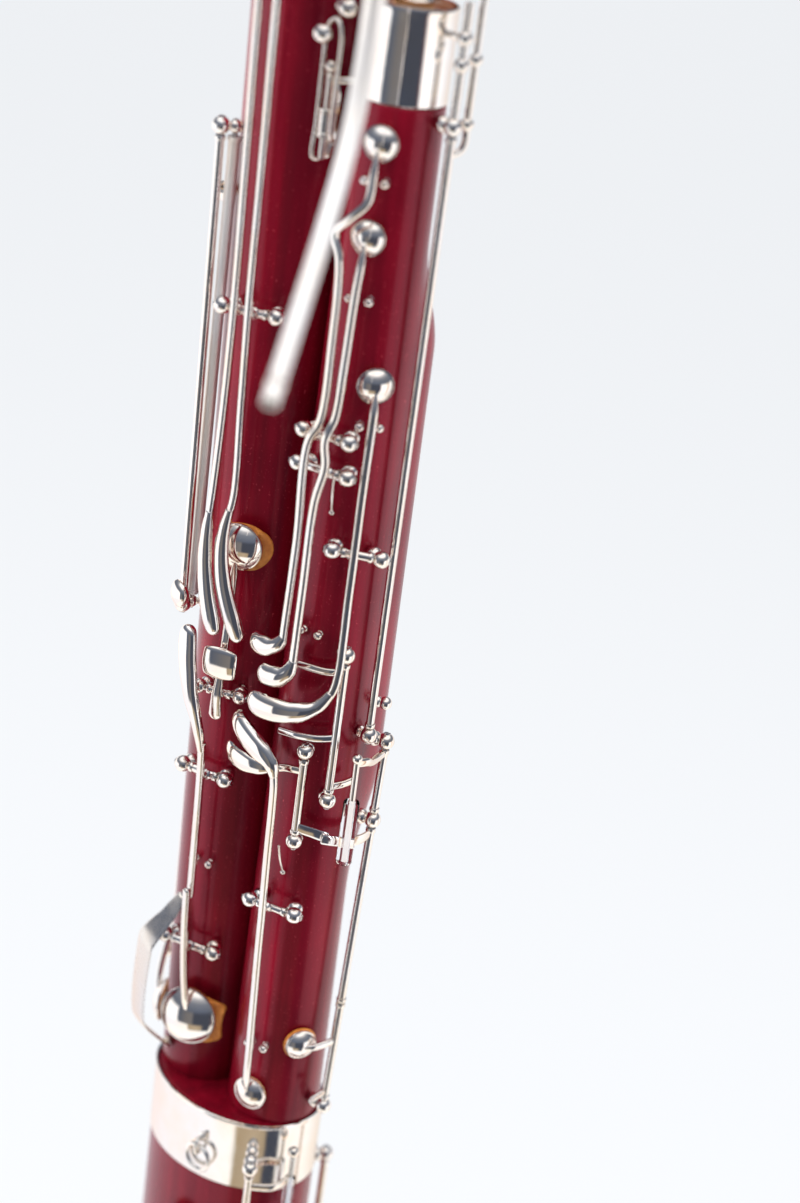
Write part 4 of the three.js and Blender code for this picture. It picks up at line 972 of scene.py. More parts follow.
def make_bell():
    """The bell's wood: up the outside, over the mouth and down the bore to the long joint's tenon."""
    foot = LONG_TOP + 0.3
    ring_top = BELL_RING_TOP + 0.3
    profile = [(23, foot), (bell_radius(foot) - 0.7, foot)]
    profile += [(bell_radius(ring_top) - 0.7, ring_top), (bell_radius(ring_top), ring_top + 0.25)]
    z = ring_top + 8
    while z < RIM_LOW - 6:
        profile.append((bell_radius(z), z))
        z += 12
    profile += [(bell_radius(RIM_LOW), RIM_LOW - 0.5), (bell_radius(RIM_LOW) - 1.5, RIM_LOW - 0.2)]
    profile += [(bell_radius(BELL_TOP) - 1.5, BELL_TOP - 1.2), (23.4, BELL_TOP - 0.7)]
    profile += [(22.3, BELL_TOP - 1.0), (21.4, BELL_TOP - 2.4)]
    for i in range(1, 9):
        t = i / 8
        radius = 21.4 - 4.9 * t + 0.6 * math.sin(math.pi * t)
        profile.append((radius, BELL_TOP - 2.4 - (BELL_TOP - LONG_TOP - 34) * t))
    profile += [(16.5, LONG_TOP + 31), (23, LONG_TOP + 31)]
    shape = Shape()
    upright(shape, profile, BELL_X, "wood", 112)
    bell = shape.piece("bell_wood", "bell", sharp=30)
    drill(bell, [hole(BELL, 1098, 10, 9)])


def bell_band(name, node_name, inner, outer, beads):
    """A turned band round the bell, with beads at the given shares of its height."""
    low, high = (corner.z for corner in span(node_name))
    profile = [(inner, low), (outer - 0.35, low), (outer, low + 0.35)]
    for share in beads:
        z = low + (high - low) * share
        profile += [(outer, z - 0.9), (outer - 0.22, z - 0.75), (outer - 0.22, z - 0.55)]
        for degrees in range(-80, 81, 20):
            cos, sin = turning(degrees)
            profile.append((outer - 0.25 + 0.42 * cos, z + 0.55 * sin))
        profile += [(outer - 0.22, z + 0.55), (outer - 0.22, z + 0.75), (outer, z + 0.9)]
    profile += [(outer, high - 0.6), (outer - 0.2, high - 0.15), (outer - 0.7, high), (inner, high)]
    shape = Shape()
    upright(shape, profile, BELL_X, "silver", 112)
    shape.piece(name, node_name, sharp=30)


HIDDEN_FINISHES = {
    "wing_tenon_cork": "cork",
    "long_tenon_cork": "cork",
    "bocal_cork": "cork",
    "u_tube_gasket": "cork",
    "boot_u_tube": "steel",
}


def keep_hidden_parts():
    """Parts inside the sockets and under the cap keep their CAD shape and get their finish."""
    for name, finish in HIDDEN_FINISHES.items():
        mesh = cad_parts[name].data
        mesh.materials.clear()
        mesh.materials.append(FINISHES[finish][0])


# ------------------------------------------------------------------ bocal

BOCAL_DEGREES = 29.3
BOCAL_WALL = 0.55
BOCAL_PATH = [
    (0, WING_TOP - 30), (0, WING_TOP + 5), (1.5, 930), (10, 956), (31, 975), (57, 972), (75, 951),
    (82, 922), (86, 893), (98, 869), (122, 848), (151, 829), (182, 810),
]


def make_bocal():
    """The crook, from its end in the wing joint to its tip, with the vent nipple and two collars."""
    cos, sin = turning(BOCAL_DEGREES)
    points = [Vector((WING_X + reach * sin, -reach * cos, z)) for reach, z in BOCAL_PATH]
    line, places = smooth_path(points, 2.0)
    level = Vector((cos, sin, 0))
    outside, inside = [], []
    for i, centre in enumerate(line):
        along = (line[min(i + 1, len(line) - 1)] - line[max(i - 1, 0)]).normalized()
        side = along.cross(level).normalized()
        lift = side.cross(along)
        outer = 5.0 - 2.35 * (places[i] / (len(points) - 1)) ** 0.7
        outside.append(circle(centre, side, lift, outer, 30))
        inside.append(circle(centre, side, lift, outer - BOCAL_WALL, 30))
    shape = Shape()
    shape.rings(outside + inside[::-1], "crook", loop=True)
    nipple = [(0.7, 0), (3.0, 0), (2.9, 1.2), (1.9, 1.9), (1.7, 2.4), (1.7, 4.4), (1.4, 4.75), (0.7, 4.75)]
    turned(shape, nipple, Vector((WING_X, 3.5, NIPPLE_Z)), -THUMB_SIDE, sides=26, loop=True)
    tip_ring = [(2.2, -7.6), (2.85, -7.6), (3.0, -7.3), (3.0, -6.7), (2.85, -6.4), (2.2, -6.4)]
    turned(shape, tip_ring, line[-1], line[-1] - line[-2], sides=30, loop=True)
    collar = [(4.4, 0), (6.6, 0), (6.9, 0.4), (6.9, 1.4), (6.4, 1.9), (5.3, 2.3), (4.4, 2.3)]
    turned(shape, collar, Vector((WING_X, 0, WING_TOP - 0.6)), UP, sides=48, loop=True)
    shape.piece("bocal_tube", "bocal", sharp=30)


# ------------------------------------------------------------------ wing joint keys

# Paths and touches are rows of height, degrees round the joint and lift above the wood.
WING_KEYS = {
    "high_d": {
        "axle": cross_axle(WING, 743.5, -12.2, 31, 9),
        "roll": LEVER_ROLL,
        "path": [
            (849.2, 21, 4.3), (838, 21.5, 6.6), (830, 21, 8.5), (823, 8, 9.5), (816.5, -3, 9.5),
            (808, 4, 9.5), (778, 7, 9.5), (750, 7, 10.8), (741, 1, 12.6), (703.5, 2.5, 13), (667, 1.2, 13),
            (660.5, 1.2, 13),
        ],
        "crossing": (743.5, 3, 11.5),
        "cup": (849.2, 21),
        "radius": 6.5,
        "touch": [
            (664.5, 1.8, 12.8), (660.2, -3, 13.6), (657.8, -13, 14.5), (656.8, -23, 14.3),
            (656.5, -29, 13.3),
        ],
        "widths": [3.6, 6.0, 8.6, 9.0, 8.2],
    },
    "high_c": {
        "axle": cross_axle(WING, 730.3, -14.5, 33, 9),
        "roll": LEVER_ROLL,
        "path": [
            (816.1, 20.1, 4.3), (806, 20.5, 6.6), (798, 20.2, 8), (770, 19, 8.8), (752, 18, 10),
            (743.5, 14, 12), (734, 16.5, 12), (720, 12.3, 12.5), (685, 11.6, 12.5), (652.5, 11, 12.5),
        ],
        "crossing": (730.3, 15.5, 11),
        "cup": (816.1, 20.1),
        "radius": 6.5,
        "touch": [(656.5, 11.4, 12.4), (651, 8.4, 13), (648, 1, 14), (647, -9, 14.2), (647, -15.5, 13.2)],
        "widths": [3.6, 6.4, 9.0, 9.2, 8.2],
    },
    "high_a": {
        "axle": axle_between(WING, (701.4, 27.9, 8), (698.3, 71.4, 8)),
        "roll": 0,
        "path": [
            (763.4, 49.4, 4.3), (754, 48.5, 6.6), (745, 47.5, 8), (726, 46.5, 9), (702, 46, 10.3),
            (684, 45.5, 11.2), (668, 45.5, 12.2), (655, 45, 12.7), (647, 42.4, 12.9), (641.5, 36, 13.2),
        ],
        "crossing": (700, 46, 9.5),
        "cup": (763.4, 49.4),
        "radius": 6.8,
        "touch": [
            (646.5, 42, 12.9), (640.3, 33, 13.3), (637, 20, 14.6), (635.5, 5, 15.8), (634.6, -9, 15.8),
            (634.5, -20, 14.8),
        ],
        "widths": [3.6, 5.2, 8.4, 10.2, 10.4, 8.8],
    },
    "c_sharp": {
        "axle": cross_axle(WING, 546, -8.3, 35.2, 8),
        "roll": LEVER_ROLL,
        "path": [
            (453.9, 10.1, 4.3), (464, 10, 6.5), (479, 11, 8), (522, 9, 9), (546, 9.3, 10.4),
            (573.5, 8.7, 11.4), (592, 9, 12.4), (604, 8.5, 13), (609.5, 7, 13.2),
        ],
        "crossing": (546, 9.3, 9.5),
        "cup": (453.9, 10.1),
        "radius": 7.2,
        "touch": [
            (606, 8.2, 13.0), (611.5, 4.5, 13.3), (615, -5, 14.1), (617.7, -17, 14.8), (619.4, -30, 15.2),
            (619.9, -42, 14.6),
        ],
        "widths": [3.6, 6.4, 9.8, 10.6, 10.4, 8.8],
    },
}


def make_wing_key(name, key):
    axle = key["axle"]
    shape = pad_key(WING, axle, key["path"], key["crossing"], key["cup"], key["radius"], roll=key["roll"])
    touch_piece(shape, WING, key["touch"], key["widths"], 6.0)
    shape.piece(f"{name}_silver", f"{name}_key", moving=True)
    posts(f"{name}_posts", WING, axle)


WHISPER_LEVER_AXLE = upright_axle(29.6, -21.2, 617, 577.5)
TRILL_LINK_AXLE = upright_axle(38, -14.5, 659, 597)
WHISPER_KEY_AXLE = upright_axle(41.9, 0.8, 857, 622)
SIDE_AXLE = Axle(Vector((43.7, 10.3, 617)), Vector((46.2, -1, 451)))
SIDE_SLEEVE = 1.6
LOCK_POST = 34
LINK_END = 117


def make_whisper_lever():
    shape = Shape()
    rows = [
        (608.5, 26, 5.8), (608.3, 18, 5.8), (607.6, 8, 5.9), (606, -3, 7.6), (605.3, -12, 11),
        (605, -24, 14), (604.8, -37, 16), (605, -48, 17),
    ]
    widths = [3, 3, 3, 3.8, 6.4, 8.2, 8.2, 6.8]
    thicknesses = [2.4, 2.2, 2.0, 2.2, 2.6, 3.0, 3.0, 2.6]
    lever(shape, WING, rows, widths, thicknesses, [0, 0, 0.2, 0.8, 1, 1, 1, 1], (0.8, 3.4))
    plate_arm(shape, WING, [(584, 27, 6.2), (583, 40, 6.2), (581.5, 50, 6), (580.5, 57, 6)], 4.3, 1.4)
    sleeve(shape, WHISPER_LEVER_AXLE)
    shape.piece("whisper_lever_silver", "whisper_thumb_lever", moving=True)
    posts("whisper_lever_posts", WING, WHISPER_LEVER_AXLE)


def make_trill_link():
    shape = Shape()
    plate_arm(shape, WING, [(651.5, 50, 5.4), (651, 36, 4.6), (651, 18, 3.8), (650.8, 4, 3.8)], 3, 2.0)
    plate_arm(shape, WING, [(624, 50, 5.6), (623.5, 36, 6), (623, 18, 6), (622, -4, 6)], 3, 2.4)
    plate_arm(shape, WING, [(603, 54, 5.4), (603.5, 66, 5.2), (604.5, 78, 5.2)], 3, 2.4)
    sleeve(shape, TRILL_LINK_AXLE)
    shape.piece("trill_link_silver", "trill_link_key", moving=True)
    posts("trill_link_posts", WING, TRILL_LINK_AXLE)


def make_whisper_key():
    """The long rod, its crank round the ferrule and the cup that stands behind the bocal's nipple."""
    shape = Shape()
    sleeve(shape, WHISPER_KEY_AXLE, radius=1.6)
    x, y = 43.9, 5.9
    crank = [Vector((41.9, 0.8, 847.5)), Vector((43.2, 4.4, 848.2))]
    crank += [Vector((x, y, z)) for z in (850.5, 862, 880, 900)]
    crank += [Vector((41, 11, 915)), Vector((33, 14.6, NIPPLE_Z)), Vector((19.6, 14.2, NIPPLE_Z))]
    wire(shape, crank, 1.3)
    for z in (858, 880):
        ball(shape, Vector((x, y, z)), 2.4)
    crown = Vector((WING_X, 14.9, NIPPLE_Z))
    dome = [(0, 0)]
    for degrees in range(15, 91, 15):
        cos, sin = turning(degrees)
        dome.append((3.6 * sin, 1.5 * (1 - cos)))
    turned(shape, dome + [(3.6, 2.4), (0, 2.4)], crown, THUMB_SIDE, sides=32)
    pad = [(0, 2.3), (3.3, 2.3), (3.3, 3.4), (3.0, 3.8), (0.8, 3.85), (0, 3.7)]
    turned(shape, pad, crown, THUMB_SIDE, "pad", 32)
    shape.piece("whisper_rod_silver", "whisper_key", moving=True)
    posts("whisper_key_posts", WING, WHISPER_KEY_AXLE)


def make_guide_rod():
    """The fixed rod that stands on the whisper key's upper post and is stayed to the ferrule."""
    shape = Shape()
    foot = WHISPER_KEY_AXLE.start
    stay = Vector((foot.x, foot.y, 887))
    rod(shape, foot, Vector((foot.x, foot.y, WING_TOP + 4)), 1.45)
    for centre in (Vector((foot.x, foot.y, 878)), stay):
        ball(shape, centre, 2.7)
    rod(shape, Vector((WING_X + FERRULE_RADIUS - 0.3, 0.4, stay.z)), stay, 1.2)
    shape.piece("ferrule_guide_rod")


def make_whisper_lock():
    """The lock's short lever with its hanging pin, which has a clear plastic sleeve."""
    shape = Shape()
    sleeve(shape, SIDE_AXLE, None, LOCK_POST - BALL - 0.3, SIDE_SLEEVE)
    rows = [SIDE_AXLE.at(5), (613, 88, 9.5), (616, 76, 12.5), (617, 66, 13.4)]
    lever(shape, WING, rows, [3, 3, 3.4, 4], 2.4, [0, 0, 0.5, 1], (0.6, 1.4))
    top = site(WING, 618.5, 67, 13.2)
    rod(shape, top, site(WING, 574, 67, 13.2), 1.2)
    ball(shape, top, 2.0)
    tube = [(1.45, 0), (2.9, 0), (3.1, 0.3), (3.1, 26.4), (2.8, 26.9), (1.45, 26.9)]
    turned(shape, tube, site(WING, 600, 67, 13.2), -UP, "clear", 32, loop=True)
    shape.piece("whisper_lock_silver", "whisper_lock_key", moving=True)


def make_whisper_link():
    shape = Shape()
    sleeve(shape, SIDE_AXLE, LOCK_POST + BALL + 0.3, LINK_END - 0.4, SIDE_SLEEVE)
    rows = [SIDE_AXLE.at(40), (577.5, 92, 8), (578.5, 76, 7.8), (580, 60, 7.7), (581, 50, 7.7)]
    plate_arm(shape, WING, rows, 4.3, 1.4)
    shape.piece("whisper_link_silver", "whisper_link_rod", moving=True)


def make_side_key():
    shape = Shape()
    end = SIDE_AXLE.length
    sleeve(shape, SIDE_AXLE, LINK_END + 0.4, None, SIDE_SLEEVE)
    rows = [(481, 61, 4.0), (481.5, 70, 6), SIDE_AXLE.at(end - 31)]
    lever(shape, WING, rows, [1.6, 3, 3.2], 2.2, [0.6, 0.4, 0.4])
    lever(shape, WING, [SIDE_AXLE.at(end - 7), (457, 72, 8.5)], 3, 2, [0.5, 0.8])
    cup(shape, WING, (481, 61), 6.5, flap=lambda degrees: 0.9)
    shape.piece("side_key_silver", "wing_side_key", moving=True)
    posts("side_rod_posts", WING, SIDE_AXLE, [SIDE_AXLE.at(LOCK_POST)])


# ------------------------------------------------------------------ long joint thumb keys

THUMB_LEVER_AXLE = axle_between(LONG, (780, -5, 10), (780, 33.5, 8))
THUMB_SPLIT = THUMB_LEVER_AXLE.length * 0.48
THUMB_TOUCH_WIDTHS = [3.2, 4.6, 5.8, 6.6, 6.8, 5.6]
B_PAD_AXLE = cross_axle(LONG, 925, 13, 45, 8)
BELL_KEY_AXLE = cross_axle(BELL, 1040, -12, 20, 8)
LOW_C_AXLE = cross_axle(LONG, 626.5, 0.3, 35.5, 7)
LOW_D_LEVER_AXLE = cross_axle(LONG, 589.3, -11.4, 30.4, 7)
LOW_D_PAD_AXLE = cross_axle(LONG, 509.3, -12.3, 36, 8)


def thumb_lever(name, rows, touch, crossing, start, end):
    """One of the two long levers that share an axle, on its own stretch of it."""
    shape = Shape()
    lever(shape, LONG, rows, 2.9, 2.6, ends=(1.2, 0.6), roll=LEVER_ROLL)
    touch_piece(shape, LONG, touch, THUMB_TOUCH_WIDTHS, 4.8)
    saddle(shape, THUMB_LEVER_AXLE, site(LONG, 780, crossing, 10.4))
    sleeve(shape, THUMB_LEVER_AXLE, start, end)
    shape.piece(f"{name}_silver", f"{name}_lever", moving=True)


def make_b_flat_lever():
    rows = [
        (970, 2, 10), (889, 2.6, 10), (830, 4.5, 10.4), (784, 6.2, 11.2), (745, 4.5, 10.5), (708, 2.5, 11),
        (697, 3.4, 12.8),
    ]
    touch = [
        (702, 2.8, 12.0), (694, 3.6, 13.4), (684, 5.6, 14.8), (672, 9.6, 15.8), (662, 14, 16),
        (655, 17.5, 15.8),
    ]
    thumb_lever("low_b_flat", rows, touch, 6.2, None, THUMB_SPLIT - 0.2)


def make_b_lever():
    rows = [
        (906, 14.5, 9.5), (889, 14.3, 9.6), (830, 15.2, 10), (784, 16.3, 11.2), (745, 17, 10.4),
        (710, 18, 10.4), (700, 16, 12.0),
    ]
    touch = [
        (705, 16.8, 11.4), (697, 15.4, 12.8), (688, 15.8, 14.0), (676, 19.6, 15.0), (663, 27, 15.6),
        (654, 32.5, 15.4),
    ]
    thumb_lever("low_b", rows, touch, 17.5, THUMB_SPLIT + 0.2, None)
    posts("thumb_lever_posts", LONG, THUMB_LEVER_AXLE)


def make_b_pad_key():
    rows = [(952, 30, 8.2), (940, 29.5, 10.4), (925, 27, 11.2), (912, 20, 13.2), (901, 15.5, 13.2)]
    shape = pad_key(LONG, B_PAD_AXLE, rows, (925, 27, 10.4), (952, 30), 11, 8.6)
    shape.piece("low_b_pad_silver", "low_b_pad_key", moving=True)
    posts("low_b_pad_posts", LONG, B_PAD_AXLE)


def make_bell_key():
    rows = [
        (1098, 10, 8.0), (1080, 9, 11.2), (1060, 7, 12), (1040, 5, 12.2), (1015, 4, 13.6), (985, 3, 15),
        (962, 2.2, 15),
    ]
    shape = pad_key(BELL, BELL_KEY_AXLE, rows, (1040, 5, 11), (1098, 10), 13, 4)
    shape.piece("bell_key_silver", "bell_key", moving=True)
    posts("bell_key_posts", BELL, BELL_KEY_AXLE)


def make_low_c_key():
    shape = Shape()
    rows = [
        (688, 22, 7.2), (676, 21, 6.6), (662, 20, 6.2), (648, 19.3, 6.6), (634, 18.5, 7.6), (626.5, 18, 8.6),
        (615, 17, 7.2),
    ]
    lever(shape, LONG, rows, [0.7, 3, 3, 3, 3.2, 4.2, 5.4], 2.4, [0, 0, 0, 0, 0.2, 0.5, 1], (0.4, 2.4))
    crown = ((634.4, 10.0), (637.5, 10.7), (641, 11.0), (644.5, 10.7), (647.6, 10.0))
    block = [(z, 19.3, lift) for z, lift in crown]
    lever(shape, LONG, block, [12.6, 13.6, 13.9, 13.6, 12.6], [2.6, 3.2, 3.4, 3.2, 2.6], 0.75, (1.6, 1.6))
    rod(shape, site(LONG, 641, 19.3, 6.5), site(LONG, 641, 19.3, 10.2), 1.8)
    saddle(shape, LOW_C_AXLE, site(LONG, 626.5, 18, 7.6))
    sleeve(shape, LOW_C_AXLE)
    cup(shape, LONG, (688, 22), 9.5, LOW_C_AXLE, 2.9, rounded_flap)
    shape.piece("low_c_silver", "low_c_key", moving=True)
    posts("low_c_posts", LONG, LOW_C_AXLE, radius=2.9)


def make_low_d_lever():
    shape = Shape()
    rows = [(606, 12.6, 11.4), (589.5, 12.6, 10.4), (579, 12.2, 9.6), (555, 12, 9), (533, 11.8, 8.6)]
    lever(shape, LONG, rows, ends=(0.6, 1.6), roll=LEVER_ROLL)
    touch = [
        (653.5, -4.2, 13.2), (646, -2.8, 14.2), (636, 0, 14.6), (625, 4.2, 14.5), (614, 9.2, 13.3),
        (601, 12.7, 11.2),
    ]
    touch_piece(shape, LONG, touch, [7.2, 8.6, 8.2, 6.6, 4.6, 3.2], 5.0, (3.2, 1.0))
    saddle(shape, LOW_D_LEVER_AXLE, site(LONG, 589.3, 12.6, 9.6))
    sleeve(shape, LOW_D_LEVER_AXLE)
    shape.piece("low_d_lever_silver", "low_d_thumb_lever", moving=True)
    posts("low_d_lever_posts", LONG, LOW_D_LEVER_AXLE)


def make_low_d_pad():
    rows = [
        (475.5, 19, 8.2), (486, 17.5, 10.2), (498, 15.5, 11.2), (509.3, 14, 11.6), (522, 13, 12),
        (539, 12, 12),
    ]
    shape = pad_key(LONG, LOW_D_PAD_AXLE, rows, (509.3, 14, 10.8), (475.5, 19), 12.4, -6.9, notched_flap)
    shape.piece("low_d_pad_silver", "low_d_pad_key", moving=True)
    posts("low_d_pad_posts", LONG, LOW_D_PAD_AXLE)


# ------------------------------------------------------------------ little-finger keys

TOUCH_ROD_AXLE = Axle(Vector((-38.2, -26.6, 841)), Vector((-35.4, -25.4, 655)))
PAD_ROD_AXLE = Axle(Vector((-35, -22.6, 841)), Vector((-35.2, -21, 655)))
E_FLAT_AXLE = axle_between(LONG, (655, -96, 7), (478, -96, 8))


def make_c_sharp_lever():
    shape = Shape()
    sleeve(shape, TOUCH_ROD_AXLE, radius=1.55)
    touch = [(662, -28.5, 11.2), (662.2, -24, 12.2), (662, -19, 12.4), (661.5, -12, 11.6)]
    touch_piece(shape, LONG, touch, [8.0, 9.8, 10.0, 8.2], 4.8, (2.6, 2.6))
    rod(shape, TOUCH_ROD_AXLE.at(179), site(LONG, 662, -24, 11.4), 1.4)
    shape.piece("low_c_sharp_lever_silver", "low_c_sharp_lever", moving=True)


def make_c_sharp_pad():
    shape = Shape()
    sleeve(shape, PAD_ROD_AXLE, radius=2.2, material="crook")
    plate_arm(shape, LONG, [PAD_ROD_AXLE.at(26), (815, -48, 7), (815, -60, 6.4), (815, -74, 4.4)], 4, 2.4)
    cup(shape, LONG, (815, -74), 9)
    shape.piece("low_c_sharp_pad_silver", "low_c_sharp_pad_key", moving=True)


def make_c_sharp_posts():
    """The posts of the pad's rod, with the touch's rod carried beside it on balls of its own."""
    shape = Shape()
    rod(shape, PAD_ROD_AXLE.start, PAD_ROD_AXLE.end, AXLE_RADIUS, "steel")
    for centre, end_sign in ((PAD_ROD_AXLE.start, -1), (PAD_ROD_AXLE.end, 1)):
        post(shape, LONG, centre, PAD_ROD_AXLE, SMALL_BALL, end_sign)
    rod(shape, TOUCH_ROD_AXLE.start, TOUCH_ROD_AXLE.end, AXLE_RADIUS, "steel")
    for centre, end_sign in ((TOUCH_ROD_AXLE.start, -1), (TOUCH_ROD_AXLE.end, 1)):
        post_head(shape, centre, TOUCH_ROD_AXLE, BALL, end_sign)
    shape.piece("low_c_sharp_posts_turned", "low_c_sharp_posts")


def make_e_flat_key():
    shape = Shape()
    sleeve(shape, E_FLAT_AXLE)
    plate_arm(shape, LONG, [E_FLAT_AXLE.at(165), (482, -86, 7.4), (470, -75, 6.6), (462, -66, 4.4)], 4, 2.4)
    cup(shape, LONG, (462, -66), 9.5)
    touch = [(640, -97, 7.5), (640, -104, 10.5), (641, -112, 12), (642, -123, 12)]
    touch_piece(shape, LONG, touch, [3.4, 6, 10, 8], 3.2)
    shape.piece("low_e_flat_silver", "low_e_flat_key", moving=True)
    posts("low_e_flat_posts", LONG, E_FLAT_AXLE)


# ------------------------------------------------------------------ boot keys

BOOT_THUMB_AXLE = axle_between(BOOT, (424, 44, 8), (230, 44, 8))
BOOT_FINGER_AXLE = axle_between(BOOT, (400, 142, 8), (140, 142, 8))
BOOT_TUBE_INSET = 3.4


def boot_key(shape, axle, start, end, arm_at, rows, cup_at, radius, open_degrees):
    """A tube on its stretch of an axle, with an arm to a cup."""
    sleeve(shape, axle, start, end)
    lever(shape, BOOT, [axle.at(arm_at), *rows], [3.6, 4.2, 3.6, 1.2], 2.6, [0.4, 0.2, 0.1, 0])
    cup(shape, BOOT, cup_at, radius, axle, open_degrees)


def make_low_e_key():
    shape = Shape()
    rows = [(372, 30, 10.2), (372, 14, 9.4), (372, 4, 8.6)]
    boot_key(shape, BOOT_THUMB_AXLE, BOOT_TUBE_INSET, 97, 52, rows, (372, 2), 14, -7.4)
    plate_arm(shape, BOOT, [BOOT_THUMB_AXLE.at(9), (416, 58, 9), (417, 70, 6)], 3.4, 2)
    top = site(BOOT, 431, 70, 6.5)
    rod(shape, top, site(BOOT, 397, 70, 6.5), 1.1, "steel")
    ball(shape, top, 2.4)
    tube = [(1.15, 0), (2.1, 0), (2.25, 0.3), (2.25, 21.7), (2.1, 22), (1.15, 22)]
    turned(shape, tube, site(BOOT, 418, 70, 6.5), -UP, "clear", loop=True)
    shape.piece("low_e_silver", "low_e_key", moving=True)


def make_b_flat_thumb_key():
    shape = Shape()
    rows = [(282, 32, 7.6), (282, 20, 6), (282, 12, 4.4)]
    end = BOOT_THUMB_AXLE.length - BOOT_TUBE_INSET
    boot_key(shape, BOOT_THUMB_AXLE, 98, end, 142, rows, (282, 10), 9, 0)
    touch = [(312, 45, 9.0), (312, 52, 10.8), (312, 60, 11.8), (313, 67, 11.6)]
    touch_piece(shape, BOOT, touch, [3.8, 6.8, 9, 7.4], 3.2)
    shape.piece("b_flat_thumb_silver", "b_flat_thumb_key", moving=True)
    posts("boot_thumb_posts", BOOT, BOOT_THUMB_AXLE)


def make_finger_boot_keys():
    g_key, f_key = Shape(), Shape()
    g_rows = [(345, 156, 10.2), (345, 168, 9.4), (345, 176, 8.6)]
    boot_key(g_key, BOOT_FINGER_AXLE, BOOT_TUBE_INSET, 129, 55, g_rows, (345, 178), 10, 8.4)
    g_key.piece("g_key_silver", "g_key", moving=True)
    f_rows = [(205, 156, 10.2), (205, 168, 9.4), (205, 174, 8.6)]
    end = BOOT_FINGER_AXLE.length - BOOT_TUBE_INSET
    boot_key(f_key, BOOT_FINGER_AXLE, 130, end, 195, f_rows, (205, 178), 14, 8.4)
    f_key.piece("low_f_silver", "low_f_key", moving=True)
    posts("boot_finger_posts", BOOT, BOOT_FINGER_AXLE)


# ------------------------------------------------------------------ guard, strap ring, guides and springs


def make_key_guard():
    shape = Shape()
    rows = [
        (526.5, -12, 1.0), (519, -14.5, 5.6), (509, -18.5, 13.0), (505.5, -20, 14.6), (501, -20.5, 15.0),
        (482, -22, 15.6), (468, -21.5, 15.2), (464.5, -21, 13.8), (457, -20, 7.5), (450.5, -18.5, 1.0),
    ]
    widths = [5, 8, 11, 12, 12, 12, 11.5, 11, 9, 6]
    lever(shape, LONG, rows, widths, 1.1, 0.2, (0.5, 0.5), material="satin")
    screw = [(0, 0), (2.3, 0), (2.2, 0.7), (1.4, 1.4), (0, 1.6)]
    for z, degrees in ((525, -12.6), (452, -18.8)):
        root = site(LONG, z, degrees, 0.8)
        turned(shape, screw, root, outward(LONG, root), sides=22)
    shape.piece("key_guard_sheet", "key_guard")


def make_strap_ring():
    hang = site(BOOT, STAPLE_Z, STAPLE_DEGREES, 2.7)
    out = outward(BOOT, hang)
    side = out.cross(UP)
    ring_radius, wire_radius = 6, 0.95
    centre = hang - UP * ring_radius
    rings = []
    for i in range(48):
        cos, sin = turning(360 * i / 48)
        radial = side * sin + UP * cos
        rings.append(circle(centre + radial * ring_radius, radial, out, wire_radius, 15))
    shape = Shape()
    shape.rings(rings, loop=True)
    shape.piece("strap_ring_wire", "strap_ring", moving=True)


def ball_stud(shape, joint, z, degrees, height, radius):
    """A stud with two balls one on the other."""
    root = site(joint, z, degrees, -0.3)
    out = outward(joint, root)
    foot, stem = radius * 0.85, radius * 0.5
    profile = [(0, 0), (foot, 0), (foot, 0.5), (stem, 0.8), (stem, height), (0, height)]
    turned(shape, profile, root, out, sides=18)
    ball(shape, root + out * height, radius, out)
    ball(shape, root + out * (height - radius * 1.3), radius * 0.9, out)


GUIDE_GAP = 3.7
GUIDES = (
    (WING, 836, 20.8, 4.0), (WING, 794, 20.2, 4.0), (WING, 748, 47.8, 3.6), (WING, 478, 11, 3.6),
    (LONG, 547, 12, 3.0), (WING, 664, 11.5, 3.0),
)


def make_guides():
    """Small studs each side of a long lever, single studs and knobs, and the needle springs."""
    shape = Shape()
    for joint, z, degrees, height in GUIDES:
        spread = math.degrees(GUIDE_GAP / (joint.radius(z) + height))
        for sign in (-1, 1):
            ball_stud(shape, joint, z, degrees + sign * spread, height, 1.7)
    ball_stud(shape, WING, 632, 117, 6.5, 2.6)
    for z, degrees in ((881, 43.5), (890, 58)):
        ball_stud(shape, LONG, z, degrees, 6.0, 3.6)
    for z, degrees, length, lean in ((713, 18.4, 16, 2), (560, 15.2, 14, -3)):
        start = site(WING, z, degrees, 1.4)
        end = site(WING, z + length, degrees + lean, 6.0)
        wire(shape, [start, start.lerp(end, 0.5) + outward(WING, start) * 0.8, end], 0.42)
        ball(shape, start, 1.1)
    shape.piece("guides_and_springs")


# ------------------------------------------------------------------ build

make_boot()
make_boot_band()
make_boot_cap()
make_wing()
make_ferrule()
make_lock_pin()
make_long_joint()
make_bell()
bell_band("bell_lower_band", "bell_lower_ring", 26.1, 27.15, (0.12, 0.88))
bell_band("bell_rim_band", "bell_rim_ring", 25.3, 27.55, (0.16, 0.5))
keep_hidden_parts()
make_bocal()
for key_name, key_shape in WING_KEYS.items():
    make_wing_key(key_name, key_shape)
make_whisper_lever()
make_trill_link()
make_whisper_key()
make_guide_rod()
make_whisper_lock()
make_whisper_link()
make_side_key()
make_b_flat_lever()
make_b_lever()
make_b_pad_key()
make_bell_key()
make_low_c_key()
make_low_d_lever()
make_low_d_pad()
make_c_sharp_lever()
make_c_sharp_pad()
make_c_sharp_posts()
make_e_flat_key()
make_low_e_key()
make_b_flat_thumb_key()
make_finger_boot_keys()
make_key_guard()
make_strap_ring()
make_guides()

# ------------------------------------------------------------------ stage, light and camera

